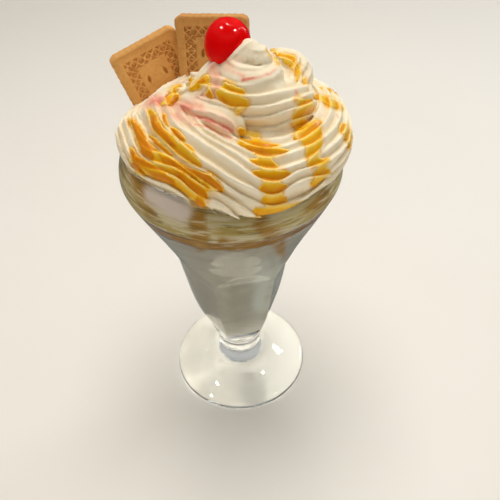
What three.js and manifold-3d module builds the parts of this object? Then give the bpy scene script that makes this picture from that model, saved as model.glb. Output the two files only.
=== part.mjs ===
// Ice cream sundae in a footed tulip glass, millimetres, +Z up.
// The glass stands on Z = 0 with its axis on Z. The front is -Y and +X is to the right.
// One body: pressed glass, ice cream in the cone, a ring of caramel sauce,
// piped whipped cream over the rim, a cherry and two biscuits.
import * as THREE from "three";
import Module from "manifold-3d";

const wasm = await Module();
wasm.setup();

// ---------- driving sizes ----------
const GAP = 0.3; // clearance between pieces that touch

// glass
const GLASS_HEIGHT = 165.6;
const FOOT_R = 39.6;
const KNOB_R = 12.8;
const BULGE_R = 51.6;
const BULGE_Z = 150.3;
const RIM_R = 47.9;
const FLUTES = 6;
const FLUTE_TURN = -22; // azimuth of one rib, degrees right of the front
const FLUTE_FROM = [29.7, 37.8]; // the flats fade in over these heights
const FLUTE_TO = [93.6, 109.8]; // and fade out under the bowl

// fillings, by height
const CAVITY_FLOOR = 37.8;
const ICE_TOP = 138.6;
const SAUCE_TOP = 146;

// cherry
const CHERRY_AT = [0.9, -0.9, 209.6];
const CHERRY_R = 9.3;
const CHERRY_UP = 10.0;
const CHERRY_DOWN = 10.8;

// biscuits: width, length, thickness, corner radius, scallop
const BISCUIT = { w: 32.4, l: 51.8, t: 5.8, corner: 3, scallop: 0.4, pitch: 6.2 };
const BISCUIT_RIGHT = { at: [-5.1, 18.9, 186], tilt: [-10.5, -2.6, -12.6] };
const BISCUIT_LEFT = { at: [-28.9, 23.6, 176.2], tilt: [-8.0, -16.5, 24.0] };

// ---------- helpers ----------
const rad = (d) => (d * Math.PI) / 180;
const lerp = (a, b, t) => a + (b - a) * t;
const smooth = (a, b, x) => {
  const t = Math.min(1, Math.max(0, (x - a) / (b - a)));
  return t * t * (3 - 2 * t);
};
// azimuth: degrees to the right of the front (-Y), seen from above
const polar = (azimuth, r, z) =>
  new THREE.Vector3(r * Math.sin(rad(azimuth)), -r * Math.cos(rad(azimuth)), z);

// Monotone-ish table lookup with a Catmull-Rom blend.
function table(rows, x, k) {
  let i = 0;
  while (i < rows.length - 2 && x > rows[i + 1][0]) i++;
  const p0 = rows[Math.max(0, i - 1)],
    p1 = rows[i],
    p2 = rows[i + 1],
    p3 = rows[Math.min(rows.length - 1, i + 2)];
  const h = p2[0] - p1[0];
  const t = Math.min(1, Math.max(0, (x - p1[0]) / h));
  const m1 = p2 === p0 ? 0 : ((p2[k] - p0[k]) / (p2[0] - p0[0])) * h;
  const m2 = p3 === p1 ? 0 : ((p3[k] - p1[k]) / (p3[0] - p1[0])) * h;
  const t2 = t * t,
    t3 = t2 * t;
  return (
    (2 * t3 - 3 * t2 + 1) * p1[k] +
    (t3 - 2 * t2 + t) * m1 +
    (-2 * t3 + 3 * t2) * p2[k] +
    (t3 - t2) * m2
  );
}

// A closed solid from rings of points, each ring the same length and
// counter-clockwise seen from the side that the rings advance to.
function solidFromRings(rings, startCap, endCap) {
  const n = rings[0].length;
  const points = rings.flat();
  const faces = [];
  for (let i = 0; i < rings.length - 1; i++)
    for (let j = 0; j < n; j++) {
      const a = i * n + j,
        b = i * n + ((j + 1) % n),
        c = a + n,
        d = b + n;
      faces.push(a, b, d, a, d, c);
    }
  const mid = (ring) =>
    ring
      .reduce((s, p) => s.add(p), new THREE.Vector3())
      .multiplyScalar(1 / ring.length);
  const s = points.length;
  points.push(startCap || mid(rings[0]), endCap || mid(rings[rings.length - 1]));
  const last = (rings.length - 1) * n;
  for (let j = 0; j < n; j++) {
    faces.push(s, (j + 1) % n, j);
    faces.push(s + 1, last + j, last + ((j + 1) % n));
  }
  return manifoldOf(points, faces);
}

function manifoldOf(points, faces) {
  const vertProperties = new Float32Array(points.length * 3);
  points.forEach((p, i) => vertProperties.set([p.x, p.y, p.z], i * 3));
  const made = new wasm.Manifold(
    new wasm.Mesh({
      numProp: 3,
      vertProperties,
      triVerts: new Uint32Array(faces),
    }),
  );
  return made;
}

function geometryOf(manifold) {
  const m = manifold.getMesh();
  const g = new THREE.BufferGeometry();
  const step = m.numProp;
  const count = m.vertProperties.length / step;
  const position = new Float32Array(count * 3);
  for (let i = 0; i < count; i++)
    for (let k = 0; k < 3; k++)
      position[i * 3 + k] = m.vertProperties[i * step + k];
  g.setAttribute("position", new THREE.BufferAttribute(position, 3));
  g.setIndex(new THREE.BufferAttribute(new Uint32Array(m.triVerts), 1));
  g.computeVertexNormals();
  return g;
}

// A turned solid: radius as a function of height, closed on the axis at both ends.
function turned(profile, segments, radiusAt = (azimuth, r) => r) {
  const rings = profile
    .filter(([r]) => r > 0)
    .map(([r, z]) => {
      const ring = [];
      for (let j = 0; j < segments; j++) {
        const azimuth = FLUTE_TURN + (360 * j) / segments;
        ring.push(polar(azimuth, radiusAt(azimuth, r, z), z));
      }
      return ring;
    });
  const first = profile[0],
    end = profile[profile.length - 1];
  return solidFromRings(
    rings,
    new THREE.Vector3(0, 0, first[1]),
    new THREE.Vector3(0, 0, end[1]),
  );
}

// ---------- glass ----------
// [height, radius over the ribs]
const OUTER = [
  [30.9, 13.41],
  [34.2, 15.21],
  [39.6, 17.73],
  [46.8, 20.5],
  [56.7, 23.6],
  [68.4, 26.1],
  [81, 28.2],
  [90.9, 29.8],
  [97.2, 30.9],
  [102, 31.8],
  [106, 32.8],
  [110, 34.2],
  [114, 35.9],
  [118, 37.7],
  [122, 39.4],
  [126.9, 41.7],
  [135, 45.4],
  [143.1, 49],
  [BULGE_Z, BULGE_R],
  [155.7, 51.3],
  [160.2, 49.86],
  [163.8, 48.42],
];
const FOOT = [
  [38.34, 0],
  [39.33, 0.81],
  [FOOT_R, 2.16],
  [38.97, 3.69],
  [34.2, 5.1],
  [24.3, 7.9],
  [17, 12.4],
  [13.3, 18],
  [12.3, 20.5],
  [KNOB_R, 21.7],
  [KNOB_R, 28.6],
];
// [height, radius] of the cavity
const INNER = [
  [CAVITY_FLOOR + 0.5, 5.2],
  [39.7, 9.8],
  [42.6, 12.6],
  [48.2, 15.4],
  [56.7, 18],
  [68.4, 20.4],
  [81, 22.3],
  [90.9, 24],
  [97.2, 25.4],
  [102, 27],
  [106, 29],
  [110, 31],
  [114, 32.9],
  [118, 34.8],
  [122, 36.6],
  [126.9, 38.9],
  [135, 42.6],
  [143.1, 46.2],
  [BULGE_Z, 48.8],
  [155.7, 48.6],
  [160.2, 47.25],
  [163.8, 45.9],
];
const outerR = (z) => table(OUTER, z, 1);
const innerR = (z) => table(INNER, z, 1);

function flutedRadius(azimuth, r, z) {
  const w = smooth(...FLUTE_FROM, z) * (1 - smooth(...FLUTE_TO, z));
  if (w <= 0) return r;
  const step = 360 / FLUTES;
  const centre = FLUTE_TURN + step / 2;
  let d = (azimuth - centre) % step;
  if (d < -step / 2) d += step;
  if (d > step / 2) d -= step;
  const flat = r * (1 - (1 - Math.cos(rad(step / 2))) * w);
  return Math.min(r, flat / Math.cos(rad(d)));
}

const SEGMENTS = 36;
const outside = [
  ...FOOT,
  ...OUTER.map(([z, r]) => [r, z]),
  [RIM_R - 0.5, GLASS_HEIGHT - 0.5],
  [RIM_R - 1.3, GLASS_HEIGHT],
];
const glassOutside = turned(outside, SEGMENTS, flutedRadius);
const cavityProfile = (offset, z0, z1) => {
  const rows = [];
  const at = INNER.map(([z]) => z);
  if (offset === 0) rows.push([4.2, CAVITY_FLOOR]);
  const inside = at.filter((z) => z > z0 + 1.2 && z < z1 - 1.2);
  for (const z of [z0, ...inside, z1]) rows.push([innerR(z) - offset, z]);
  return rows;
};
const cavity = turned(
  [...cavityProfile(0, CAVITY_FLOOR + 0.5, 164.3), [47.4, GLASS_HEIGHT + 0.4]],
  SEGMENTS,
);
const glassSolid = glassOutside.subtract(cavity);

// ---------- fillings under the cream ----------
const ICE_SEGMENTS = 36;
const iceSolid = turned(
  [
    [4.4, CAVITY_FLOOR + GAP + 0.5],
    ...cavityProfile(GAP + 0.3, 40.9, ICE_TOP),
  ],
  ICE_SEGMENTS,
);
const sauceSolid = turned(
  cavityProfile(GAP + 0.25, ICE_TOP + GAP, SAUCE_TOP),
  ICE_SEGMENTS,
);

// ---------- whipped cream: a ridged rope piped in a rising spiral ----------
// turn (degrees piped so far), distance from the axis, height, rope radius.
// Piping starts at START_AZIMUTH inside the glass and runs clockwise seen from above.
const START_AZIMUTH = -8;
const SPIRAL = [
  [0, 28.4, 160.3, 13],
  [20, 33.6, 168, 13.5],
  [35, 33, 169.3, 14],
  [50, 33, 168.2, 14.6],
  [80, 34, 163.8, 15.4],
  [105, 33.6, 161.8, 14.2],
  [130, 33.2, 162.2, 13.8],
  [172, 34.4, 165.6, 15.2],
  [215, 36.2, 168, 16.1],
  [262, 38.2, 169.2, 16.6],
  [307, 36.5, 167.9, 16.2],
  [335, 35.6, 167.8, 16],
  [354, 32.9, 171.2, 15.6],
  [372, 29.2, 174.8, 14.8],
  [405, 26.2, 176.4, 14.5],
  [442, 24.6, 175.2, 13.6],
  [485, 22.4, 174.4, 12.6],
  [532, 22.6, 177, 13.2],
  [570, 25, 179.6, 14.2],
  [600, 27, 180.4, 14.4],
  [632, 27, 182.2, 14],
  [660, 22.9, 186.8, 13.5],
  [684, 17.1, 190.8, 13],
  [706, 13, 192.6, 12.3],
  [742, 9.6, 191.6, 10.4],
  [790, 8.6, 190.2, 9.4],
];
const ROPE_RIDGES = 14;
const RIDGE_DEPTH = 0.075;

function rope(rows, start, ridges, depth, stations, ends = 0.35) {
  const from = rows[0][0],
    to = rows[rows.length - 1][0];
  const centre = (t) => polar(start - t, table(rows, t, 1), table(rows, t, 2));
  const rings = [];
  for (let i = 0; i <= stations; i++) {
    const t = lerp(from, to, i / stations);
    const c = centre(t);
    const tangent = centre(Math.min(to, t + 1))
      .sub(centre(Math.max(from, t - 1)))
      .normalize();
    const side = new THREE.Vector3()
      .crossVectors(new THREE.Vector3(0, 0, 1), tangent)
      .normalize();
    const up = new THREE.Vector3().crossVectors(tangent, side).normalize();
    // rounded ends
    const e = Math.min(i, stations - i);
    const shrink = e === 0 ? ends : e === 1 ? 0.5 + ends / 2 : 1;
    const r = table(rows, t, 3) * shrink;
    const ring = [];
    for (let j = 0; j < ridges * 2; j++) {
      const a = (Math.PI * j) / ridges;
      const q = r * (j % 2 ? 1 - depth : 1);
      ring.push(
        c
          .clone()
          .addScaledVector(side, q * Math.cos(a))
          .addScaledVector(up, q * Math.sin(a)),
      );
    }
    rings.push(ring);
  }
  return solidFromRings(rings);
}

const spiral = rope(SPIRAL, START_AZIMUTH, ROPE_RIDGES, RIDGE_DEPTH, 45);

// the small last dollop beside the cherry
const DOLLOP_AT = [10, -8.1];
const DOLLOP = [
  [8.6, 194.4],
  [10, 200],
  [9.7, 203.6],
  [7.9, 207.4],
  [5.6, 210.8],
  [2.7, 213.5],
];
const DOLLOP_SIDES = 18;
const dollop = turned(DOLLOP, DOLLOP_SIDES, (azimuth, r) =>
  Math.round(((azimuth - FLUTE_TURN) / 360) * DOLLOP_SIDES) % 2 ? r * 0.93 : r,
).translate([DOLLOP_AT[0], DOLLOP_AT[1], 0]);

// the middle of the swirl, and the cream inside the bowl
const core = turned(
  [
    [36.9, 164.7],
    [36.9, 171.9],
    [32.4, 179.1],
    [25.2, 186.3],
    [17.1, 194.4],
    [9, 199.8],
  ],
  28,
).translate([1.4, 1.8, 0]);
const bowlFill = turned(
  [
    ...cavityProfile(GAP + 0.25, SAUCE_TOP + GAP, 163.8),
    [43, 167.5],
    [32, 172],
  ],
  ICE_SEGMENTS,
);

// keeps the cream clear of the glass: the wall grown by the gap
const WALL_AT = [135, 143.1, BULGE_Z, 155.7, 160.2, 163.8];
const wallGrown = turned(
  [
    ...WALL_AT.map((z) => [outerR(z) + GAP, z]),
    [RIM_R + 0.5, GLASS_HEIGHT - 0.4],
    [RIM_R - 1.2, GLASS_HEIGHT + GAP],
    [RIM_R - 2.2, GLASS_HEIGHT + GAP],
    ...WALL_AT.toReversed().map((z) => [innerR(z) - GAP - 0.1, z]),
  ],
  SEGMENTS,
);
// the part of the space outside the bowl where no cream hangs down
const OVERHANG = [-6, 118]; // azimuths between which cream hangs over the rim
function outsideBlock(from, to) {
  const rings = [];
  const steps = 16;
  for (let i = 0; i <= steps; i++) {
    const az = lerp(from, to, i / steps);
    rings.push([
      polar(az, 45.4, 126),
      polar(az, 45.4, GLASS_HEIGHT + GAP),
      polar(az, 80, GLASS_HEIGHT + GAP),
      polar(az, 80, 126),
    ]);
  }
  return solidFromRings(rings);
}
const noHang = outsideBlock(OVERHANG[1], OVERHANG[0] + 360);
const hangLimit = outsideBlock(OVERHANG[0] - 2, OVERHANG[1] + 2).translate([
  0, 0, -10.4,
]);

// ---------- cherry ----------
const cherryProfile = [];
for (let i = 0; i <= 10; i++) {
  const t = i / 10; // bottom to top
  const a = Math.PI * (t - 0.5);
  const z = a < 0 ? CHERRY_DOWN * Math.sin(a) : CHERRY_UP * Math.sin(a);
  const r = CHERRY_R * Math.pow(Math.cos(a), a < 0 ? 1.02 : 0.86);
  cherryProfile.push([Math.max(0.9, r), z]);
}
const cherrySolid = turned(cherryProfile, 18)
  .rotate([3, 16, 0])
  .translate(CHERRY_AT);

// ---------- biscuits ----------
function biscuitOutline(inset) {
  const { w, l, corner, scallop, pitch } = BISCUIT;
  const W = w / 2 - inset,
    L = l / 2 - inset,
    c = Math.max(1.2, corner - inset);
  const path = new THREE.Path();
  path.moveTo(-W + c, -L);
  path.lineTo(W - c, -L);
  path.absarc(W - c, -L + c, c, -Math.PI / 2, 0, false);
  path.lineTo(W, L - c);
  path.absarc(W - c, L - c, c, 0, Math.PI / 2, false);
  path.lineTo(-W + c, L);
  path.absarc(-W + c, L - c, c, Math.PI / 2, Math.PI, false);
  path.lineTo(-W, -L + c);
  path.absarc(-W + c, -L + c, c, Math.PI, 1.5 * Math.PI, false);
  const around = 2 * Math.round((2 * (w + l)) / pitch);
  const points = path.getSpacedPoints(around).slice(0, around);
  const centre = (p, k) => {
    const a = points[(k + around - 1) % around],
      b = points[(k + 1) % around];
    const n = new THREE.Vector2(b.y - a.y, a.x - b.x).normalize();
    return p.clone().addScaledVector(n, k % 2 ? -scallop : 0);
  };
  return points.map(centre);
}
function biscuit({ at, tilt }) {
  const { t } = BISCUIT;
  const rings = [
    [1.3, t / 2],
    [0, t / 2 - 1.5],
    [0, -t / 2 + 1.2],
    [1.0, -t / 2],
  ].map(([inset, y]) =>
    biscuitOutline(inset).map((p) => new THREE.Vector3(p.x, y, p.y)),
  );
  return solidFromRings(rings).rotate(tilt).translate(at);
}
const biscuitRight = biscuit(BISCUIT_RIGHT);
const biscuitLeft = biscuit(BISCUIT_LEFT);

// the sockets that the biscuits and the cherry leave in the cream
function grown(solid, at, by) {
  const b = solid.boundingBox();
  const s = [0, 1, 2].map((k) => 1 + (2 * by) / (b.max[k] - b.min[k]));
  return solid
    .translate(at.map((v) => -v))
    .scale(s)
    .translate(at);
}
function biscuitSocket({ at, tilt }) {
  const { w, l, t } = BISCUIT;
  const g = 2 * GAP + 0.24;
  const box = new THREE.BoxGeometry(w + g, t + g, l + g).toNonIndexed();
  const p = box.getAttribute("position");
  const key = new Map(),
    points = [],
    faces = [];
  for (let i = 0; i < p.count; i++) {
    const v = new THREE.Vector3().fromBufferAttribute(p, i);
    const k = [v.x, v.y, v.z].map((c) => c.toFixed(3)).join();
    if (!key.has(k)) {
      key.set(k, points.length);
      points.push(v);
    }
    faces.push(key.get(k));
  }
  return manifoldOf(points, faces).rotate(tilt).translate(at);
}

let creamSolid = bowlFill.add(core).add(spiral).add(dollop);
creamSolid = creamSolid
  .subtract(wallGrown)
  .subtract(noHang)
  .subtract(hangLimit)
  .subtract(biscuitSocket(BISCUIT_RIGHT))
  .subtract(biscuitSocket(BISCUIT_LEFT))
  .subtract(grown(cherrySolid, CHERRY_AT, GAP + 0.1));
// only the main piece: no loose slivers
creamSolid = creamSolid
  .decompose()
  .sort((a, b) => b.volume() - a.volume())[0];

// ---------- scene ----------
const group = new THREE.Group();
group.name = "ice_cream_sundae";
function piece(name, solid, color, roughness, metalness = 0, extra = {}) {
  const mesh = new THREE.Mesh(
    geometryOf(solid),
    new THREE.MeshStandardMaterial({ color, roughness, metalness, ...extra }),
  );
  mesh.name = name;
  group.add(mesh);
}
piece("glass", glassSolid, 0xdfe6e2, 0.05, 0, {
  transparent: true,
  opacity: 0.35,
});
piece("ice_cream", iceSolid, 0xe9dfcd, 0.55);
piece("sauce_layer", sauceSolid, 0xb87410, 0.25);
piece("whipped_cream", creamSolid, 0xf1e2c6, 0.5);
piece("cherry", cherrySolid, 0xc40306, 0.2);
piece("biscuit_left", biscuitLeft, 0xb67c3d, 0.8);
piece("biscuit_right", biscuitRight, 0xb67c3d, 0.8);

export default group;
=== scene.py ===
"""Ice cream sundae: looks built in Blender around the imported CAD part.
All shapes are made in millimetres in the part's frame and scaled to metres."""

import math

import bpy
import numpy as np
from mathutils import Matrix, Vector


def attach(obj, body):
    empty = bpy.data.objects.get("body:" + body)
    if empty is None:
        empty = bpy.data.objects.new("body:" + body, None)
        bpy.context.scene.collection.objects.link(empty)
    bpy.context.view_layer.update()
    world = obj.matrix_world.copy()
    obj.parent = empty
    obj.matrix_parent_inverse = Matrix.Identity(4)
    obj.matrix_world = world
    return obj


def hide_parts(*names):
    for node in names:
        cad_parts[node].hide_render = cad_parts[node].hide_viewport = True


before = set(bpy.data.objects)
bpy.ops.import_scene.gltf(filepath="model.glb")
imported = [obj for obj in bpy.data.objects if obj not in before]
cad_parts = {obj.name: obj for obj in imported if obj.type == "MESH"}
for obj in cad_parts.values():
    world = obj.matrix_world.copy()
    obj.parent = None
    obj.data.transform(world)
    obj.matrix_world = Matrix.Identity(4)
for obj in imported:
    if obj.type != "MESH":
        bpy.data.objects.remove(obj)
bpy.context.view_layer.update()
F = np.float32
SCENE = bpy.context.scene

# ------------------------------------------------------------------ camera
# a pinhole camera for a 500 x 500 frame, millimetres
EYE = np.array([0.0, -227.79, 315.36])
YAW, PITCH, ROLL = (math.radians(a) for a in (1.924, 44.201, -1.585))
FOCAL = 595.0
_fwd = np.array(
    [
        math.sin(YAW) * math.cos(PITCH),
        math.cos(YAW) * math.cos(PITCH),
        -math.sin(PITCH),
    ]
)
_r = np.array([math.cos(YAW), -math.sin(YAW), 0.0])
_u = np.cross(_r, _fwd)
RIGHT = math.cos(ROLL) * _r + math.sin(ROLL) * _u
UP = -math.sin(ROLL) * _r + math.cos(ROLL) * _u
FWD = _fwd


def project(p):
    """Where points p (millimetres) fall in the 500 x 500 frame."""
    d = p - EYE.astype(F)
    z = d @ FWD.astype(F)
    return 250 + FOCAL * (d @ RIGHT.astype(F)) / z, 250 - FOCAL * (
        d @ UP.astype(F)
    ) / z


def ray(px, py):
    d = (px - 250) / FOCAL * RIGHT - (py - 250) / FOCAL * UP + FWD
    return d / np.linalg.norm(d)


cam_data = bpy.data.cameras.new("camera")
cam_data.sensor_width = 36
cam_data.lens = FOCAL / 500 * 36
cam_data.clip_start = 0.01
cam_data.clip_end = 50
cam = bpy.data.objects.new("camera", cam_data)
SCENE.collection.objects.link(cam)
cam.matrix_world = Matrix(
    (
        (RIGHT[0], UP[0], -FWD[0], EYE[0] / 1000),
        (RIGHT[1], UP[1], -FWD[1], EYE[1] / 1000),
        (RIGHT[2], UP[2], -FWD[2], EYE[2] / 1000),
        (0, 0, 0, 1),
    )
)
SCENE.camera = cam
SCENE.view_settings.view_transform = "Standard"

# ------------------------------------------------------------------ numbers
def smoothstep(a, b, x):
    t = np.clip((x - a) / (b - a), 0, 1)
    return t * t * (3 - 2 * t)


_LATTICE = {}


def noise(p, scale, seed=0):
    """Smooth noise from -1 to 1 with lumps about scale mm wide."""
    if seed not in _LATTICE:
        _LATTICE[seed] = (
            np.random.RandomState(seed).rand(32, 32, 32).astype(F) * 2 - 1
        )
    lat = _LATTICE[seed]
    q = p / scale + 512.37
    i = np.floor(q).astype(np.int32)
    f = (q - i).astype(F)
    f = f * f * (3 - 2 * f)
    a = i & 31
    b = (a + 1) & 31
    ax, ay, az, bx, by, bz = a[:, 0], a[:, 1], a[:, 2], b[:, 0], b[:, 1], b[:, 2]
    fx, fy, fz = f[:, 0], f[:, 1], f[:, 2]
    low = lat[ax, ay, az] * (1 - fx) + lat[bx, ay, az] * fx
    low += (lat[ax, by, az] * (1 - fx) + lat[bx, by, az] * fx - low) * fy
    high = lat[ax, ay, bz] * (1 - fx) + lat[bx, ay, bz] * fx
    high += (lat[ax, by, bz] * (1 - fx) + lat[bx, by, bz] * fx - high) * fy
    return low + (high - low) * fz


def smin(a, b, k):
    h = np.maximum(k - np.abs(a - b), 0) / k
    return np.minimum(a, b) - h * h * k * 0.25


def table(rows, xs):
    """Catmull-Rom through rows [x, v1, v2, ...] at xs."""
    rows = np.array(rows, float)
    x = rows[:, 0]
    i = np.clip(np.searchsorted(x, xs, side="right") - 1, 0, len(x) - 2)
    i0, i3 = np.maximum(i - 1, 0), np.minimum(i + 2, len(x) - 1)
    h = x[i + 1] - x[i]
    t = np.clip((xs - x[i]) / h, 0, 1)
    out = np.zeros((len(xs), rows.shape[1] - 1))
    for k in range(1, rows.shape[1]):
        v = rows[:, k]
        m1 = (v[i + 1] - v[i0]) / (x[i + 1] - x[i0]) * h
        m2 = (v[i3] - v[i]) / (x[i3] - x[i]) * h
        out[:, k - 1] = (
            (2 * t**3 - 3 * t * t + 1) * v[i]
            + (t**3 - 2 * t * t + t) * m1
            + (-2 * t**3 + 3 * t * t) * v[i + 1]
            + (t**3 - t * t) * m2
        )
    return out


def polar(azimuth, r, z):
    """azimuth in degrees to the right of the front (-Y), seen from above."""
    a = math.radians(azimuth)
    return np.array([r * math.sin(a), -r * math.cos(a), z])


# ------------------------------------------------------------------ meshes
def make(name, verts, quads=None, tris=None, smooth=True):
    """A mesh object from arrays, in millimetres."""
    me = bpy.data.meshes.new(name)
    me.vertices.add(len(verts))
    me.vertices.foreach_set("co", (np.asarray(verts, float) / 1000).ravel())
    loops, starts, totals, at = [], [], [], 0
    for faces, n in ((quads, 4), (tris, 3)):
        if faces is None or not len(faces):
            continue
        faces = np.asarray(faces)
        loops.append(faces.ravel())
        starts.append(at + np.arange(len(faces)) * n)
        totals.append(np.full(len(faces), n))
        at += faces.size
    loops = np.concatenate(loops)
    starts = np.concatenate(starts)
    me.loops.add(len(loops))
    me.loops.foreach_set("vertex_index", loops.astype(np.int32))
    me.polygons.add(len(starts))
    me.polygons.foreach_set("loop_start", starts.astype(np.int32))
    me.polygons.foreach_set(
        "loop_total", np.concatenate(totals).astype(np.int32)
    )
    me.update(calc_edges=True)
    me.validate()
    if smooth:
        me.polygons.foreach_set("use_smooth", np.ones(len(me.polygons), bool))
    ob = bpy.data.objects.new(name, me)
    SCENE.collection.objects.link(ob)
    return ob


def piece(ob, slot, *nodes):
    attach(ob, "root")
    if nodes:
        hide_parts(*nodes)
    return ob


def attribute(ob, name, values):
    a = ob.data.attributes.new(name, "FLOAT", "POINT")
    a.data.foreach_set("value", np.asarray(values, F))


def lathe(profile, segments, radius_at=None, closed=False):
    """Verts and quads of a turned profile of [r, z]; ends on the axis are closed with fans."""
    profile = np.array(profile, float)
    ang = np.arange(segments) * 360.0 / segments
    verts = []
    for r, z in profile:
        rr = np.full(segments, r) if radius_at is None else radius_at(ang, r, z)
        a = np.radians(ang)
        verts.append(np.column_stack([rr * np.sin(a), -rr * np.cos(a), np.full(segments, z)]))
    verts = np.concatenate(verts)
    n, quads = len(profile), []
    j = np.arange(segments)
    k = (j + 1) % segments
    rows = range(n if closed else n - 1)
    for i in rows:
        a, b = i * segments, ((i + 1) % n) * segments
        quads.append(np.column_stack([a + j, a + k, b + k, b + j]))
    quads = np.concatenate(quads)
    tris = []
    if not closed:
        verts = np.vstack([verts, [0, 0, profile[0][1]], [0, 0, profile[-1][1]]])
        s = n * segments
        tris = np.vstack(
            [
                np.column_stack([np.full(segments, s), k, j]),
                np.column_stack([np.full(segments, s + 1), (n - 1) * segments + j, (n - 1) * segments + k]),
            ]
        )
    return verts, quads, tris


def surface_nets(f, origin, h):
    """A quad mesh of the zero level of f on a grid."""
    s = f < 0
    n = f.shape
    c = np.zeros((n[0] - 1, n[1] - 1, n[2] - 1), np.int8)
    for dx in (0, 1):
        for dy in (0, 1):
            for dz in (0, 1):
                c += s[dx : n[0] - 1 + dx, dy : n[1] - 1 + dy, dz : n[2] - 1 + dz]
    active = (c > 0) & (c < 8)
    cells = np.argwhere(active)
    index = np.full(c.shape, -1, np.int32)
    index[active] = np.arange(len(cells))
    corners = np.array([[x, y, z] for x in (0, 1) for y in (0, 1) for z in (0, 1)])
    vals = [f[tuple((cells + o).T)] for o in corners]
    acc = np.zeros((len(cells), 3))
    count = np.zeros(len(cells))
    for a in range(8):
        for b in range(a + 1, 8):
            if np.abs(corners[a] - corners[b]).sum() != 1:
                continue
            m = (vals[a] < 0) != (vals[b] < 0)
            t = np.where(m, vals[a] / np.where(m, vals[a] - vals[b], 1), 0)
            acc += m[:, None] * (corners[a] + t[:, None] * (corners[b] - corners[a]))
            count += m
    verts = np.asarray(origin) + h * (cells + acc / count[:, None])
    quads = []
    for axis in range(3):
        u, v = (axis + 1) % 3, (axis + 2) % 3
        lo = [slice(None)] * 3
        hi = [slice(None)] * 3
        lo[axis], hi[axis] = slice(0, -1), slice(1, None)
        a, b = s[tuple(lo)], s[tuple(hi)]
        at = np.argwhere(a != b)
        ok = (
            (at[:, u] > 0)
            & (at[:, v] > 0)
            & (at[:, u] < n[u] - 1)
            & (at[:, v] < n[v] - 1)
        )
        at = at[ok]
        eu, ev = np.eye(3, dtype=int)[u], np.eye(3, dtype=int)[v]
        q = np.column_stack(
            [
                index[tuple((at - eu - ev).T)],
                index[tuple((at - ev).T)],
                index[tuple(at.T)],
                index[tuple((at - eu).T)],
            ]
        )
        flip = ~a[tuple(at.T)]
        q[flip] = q[flip][:, ::-1]
        quads.append(q)
    return verts, np.concatenate(quads)


def sample(fn, lo, hi, h, reach, block=4):
    """fn on a grid, worked out only near its zero level. fn gives one or more arrays, the first of which is the distance."""
    lo, hi = np.array(lo, float), np.array(hi, float)
    nb = np.ceil((hi - lo) / (h * block)).astype(int)
    g = np.stack(np.meshgrid(*[np.arange(k) for k in nb], indexing="ij"), -1).reshape(-1, 3)
    d = chunked(fn, (lo + (g + 0.5) * block * h).astype(F))[0]
    near = np.abs(d) < reach + 0.9 * block * h
    sign = np.where(d < 0, -9.0, 9.0).astype(F).reshape(nb)
    f = np.repeat(np.repeat(np.repeat(sign, block, 0), block, 1), block, 2)
    f = np.pad(f, ((0, 1),) * 3, mode="edge")
    need = np.zeros(f.shape, bool)
    for i, j, k in g[near] * block:
        need[i : i + block + 1, j : j + block + 1, k : k + block + 1] = True
    at = np.argwhere(need)
    values = chunked(fn, (lo + at * h).astype(F))
    f[need] = values[0]
    return f, lo, need, at, values


def chunked(fn, p, size=150000):
    out = None
    for i in range(0, len(p), size):
        v = fn(p[i : i + size])
        v = v if isinstance(v, tuple) else (v,)
        if out is None:
            out = [[] for _ in v]
        for o, x in zip(out, v):
            o.append(x)
    return [np.concatenate(o) for o in out]


def clean(verts, quads, keep=None):
    """Drops faces that aren't kept and vertices that nothing uses."""
    if keep is not None:
        quads = quads[keep[quads].any(axis=1)]
    used = np.zeros(len(verts), bool)
    used[quads.ravel()] = True
    new = np.cumsum(used) - 1
    return verts[used], new[quads], used

# ------------------------------------------------------------------ whipped cream
# The cream is a distance field: a ridged rope piped in a rising spiral, clockwise
# seen from above, with smaller ridged lobes on it.
# turn (degrees piped), distance from the axis, height, rope radius
START = -8.0
SPIRAL = [
    [-12, 35.8, 162.2, 12.3],
    [0, 36.0, 164.2, 13.4],
    [9, 35.2, 166.4, 13.4],
    [20, 33.6, 169.2, 13.6],
    [35, 33.0, 169.4, 14.0],
    [50, 33.0, 168.2, 14.6],
    [80, 35.4, 165.2, 15.9],
    [105, 35.2, 163.0, 14.6],
    [130, 33.2, 162.2, 13.8],
    [172, 34.4, 165.6, 15.2],
    [215, 36.4, 166.8, 15.6],
    [262, 38.6, 167.6, 16.0],
    [307, 36.5, 167.9, 16.2],
    [335, 35.6, 168.2, 16.0],
    [354, 33.2, 171.6, 15.6],
    [372, 29.6, 174.8, 14.9],
    [405, 26.2, 176.4, 14.5],
    [442, 24.6, 175.2, 13.6],
    [485, 22.4, 174.4, 12.6],
    [532, 22.6, 177, 13.2],
    [570, 24.4, 179.0, 13.4],
    [600, 25.4, 179.8, 12.7],
    [632, 25.6, 181.6, 12.7],
    [660, 22.9, 186.8, 13.5],
    [684, 17.1, 190.8, 13],
    [706, 13, 192.6, 12.2],
    [742, 9.6, 191.6, 10.4],
    [790, 8.6, 190.2, 9.4],
]
T0, T1, TSTEP = SPIRAL[0][0], SPIRAL[-1][0], 0.5
TAB = table(SPIRAL, np.arange(T0, T1 + TSTEP, TSTEP)).astype(F)

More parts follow.
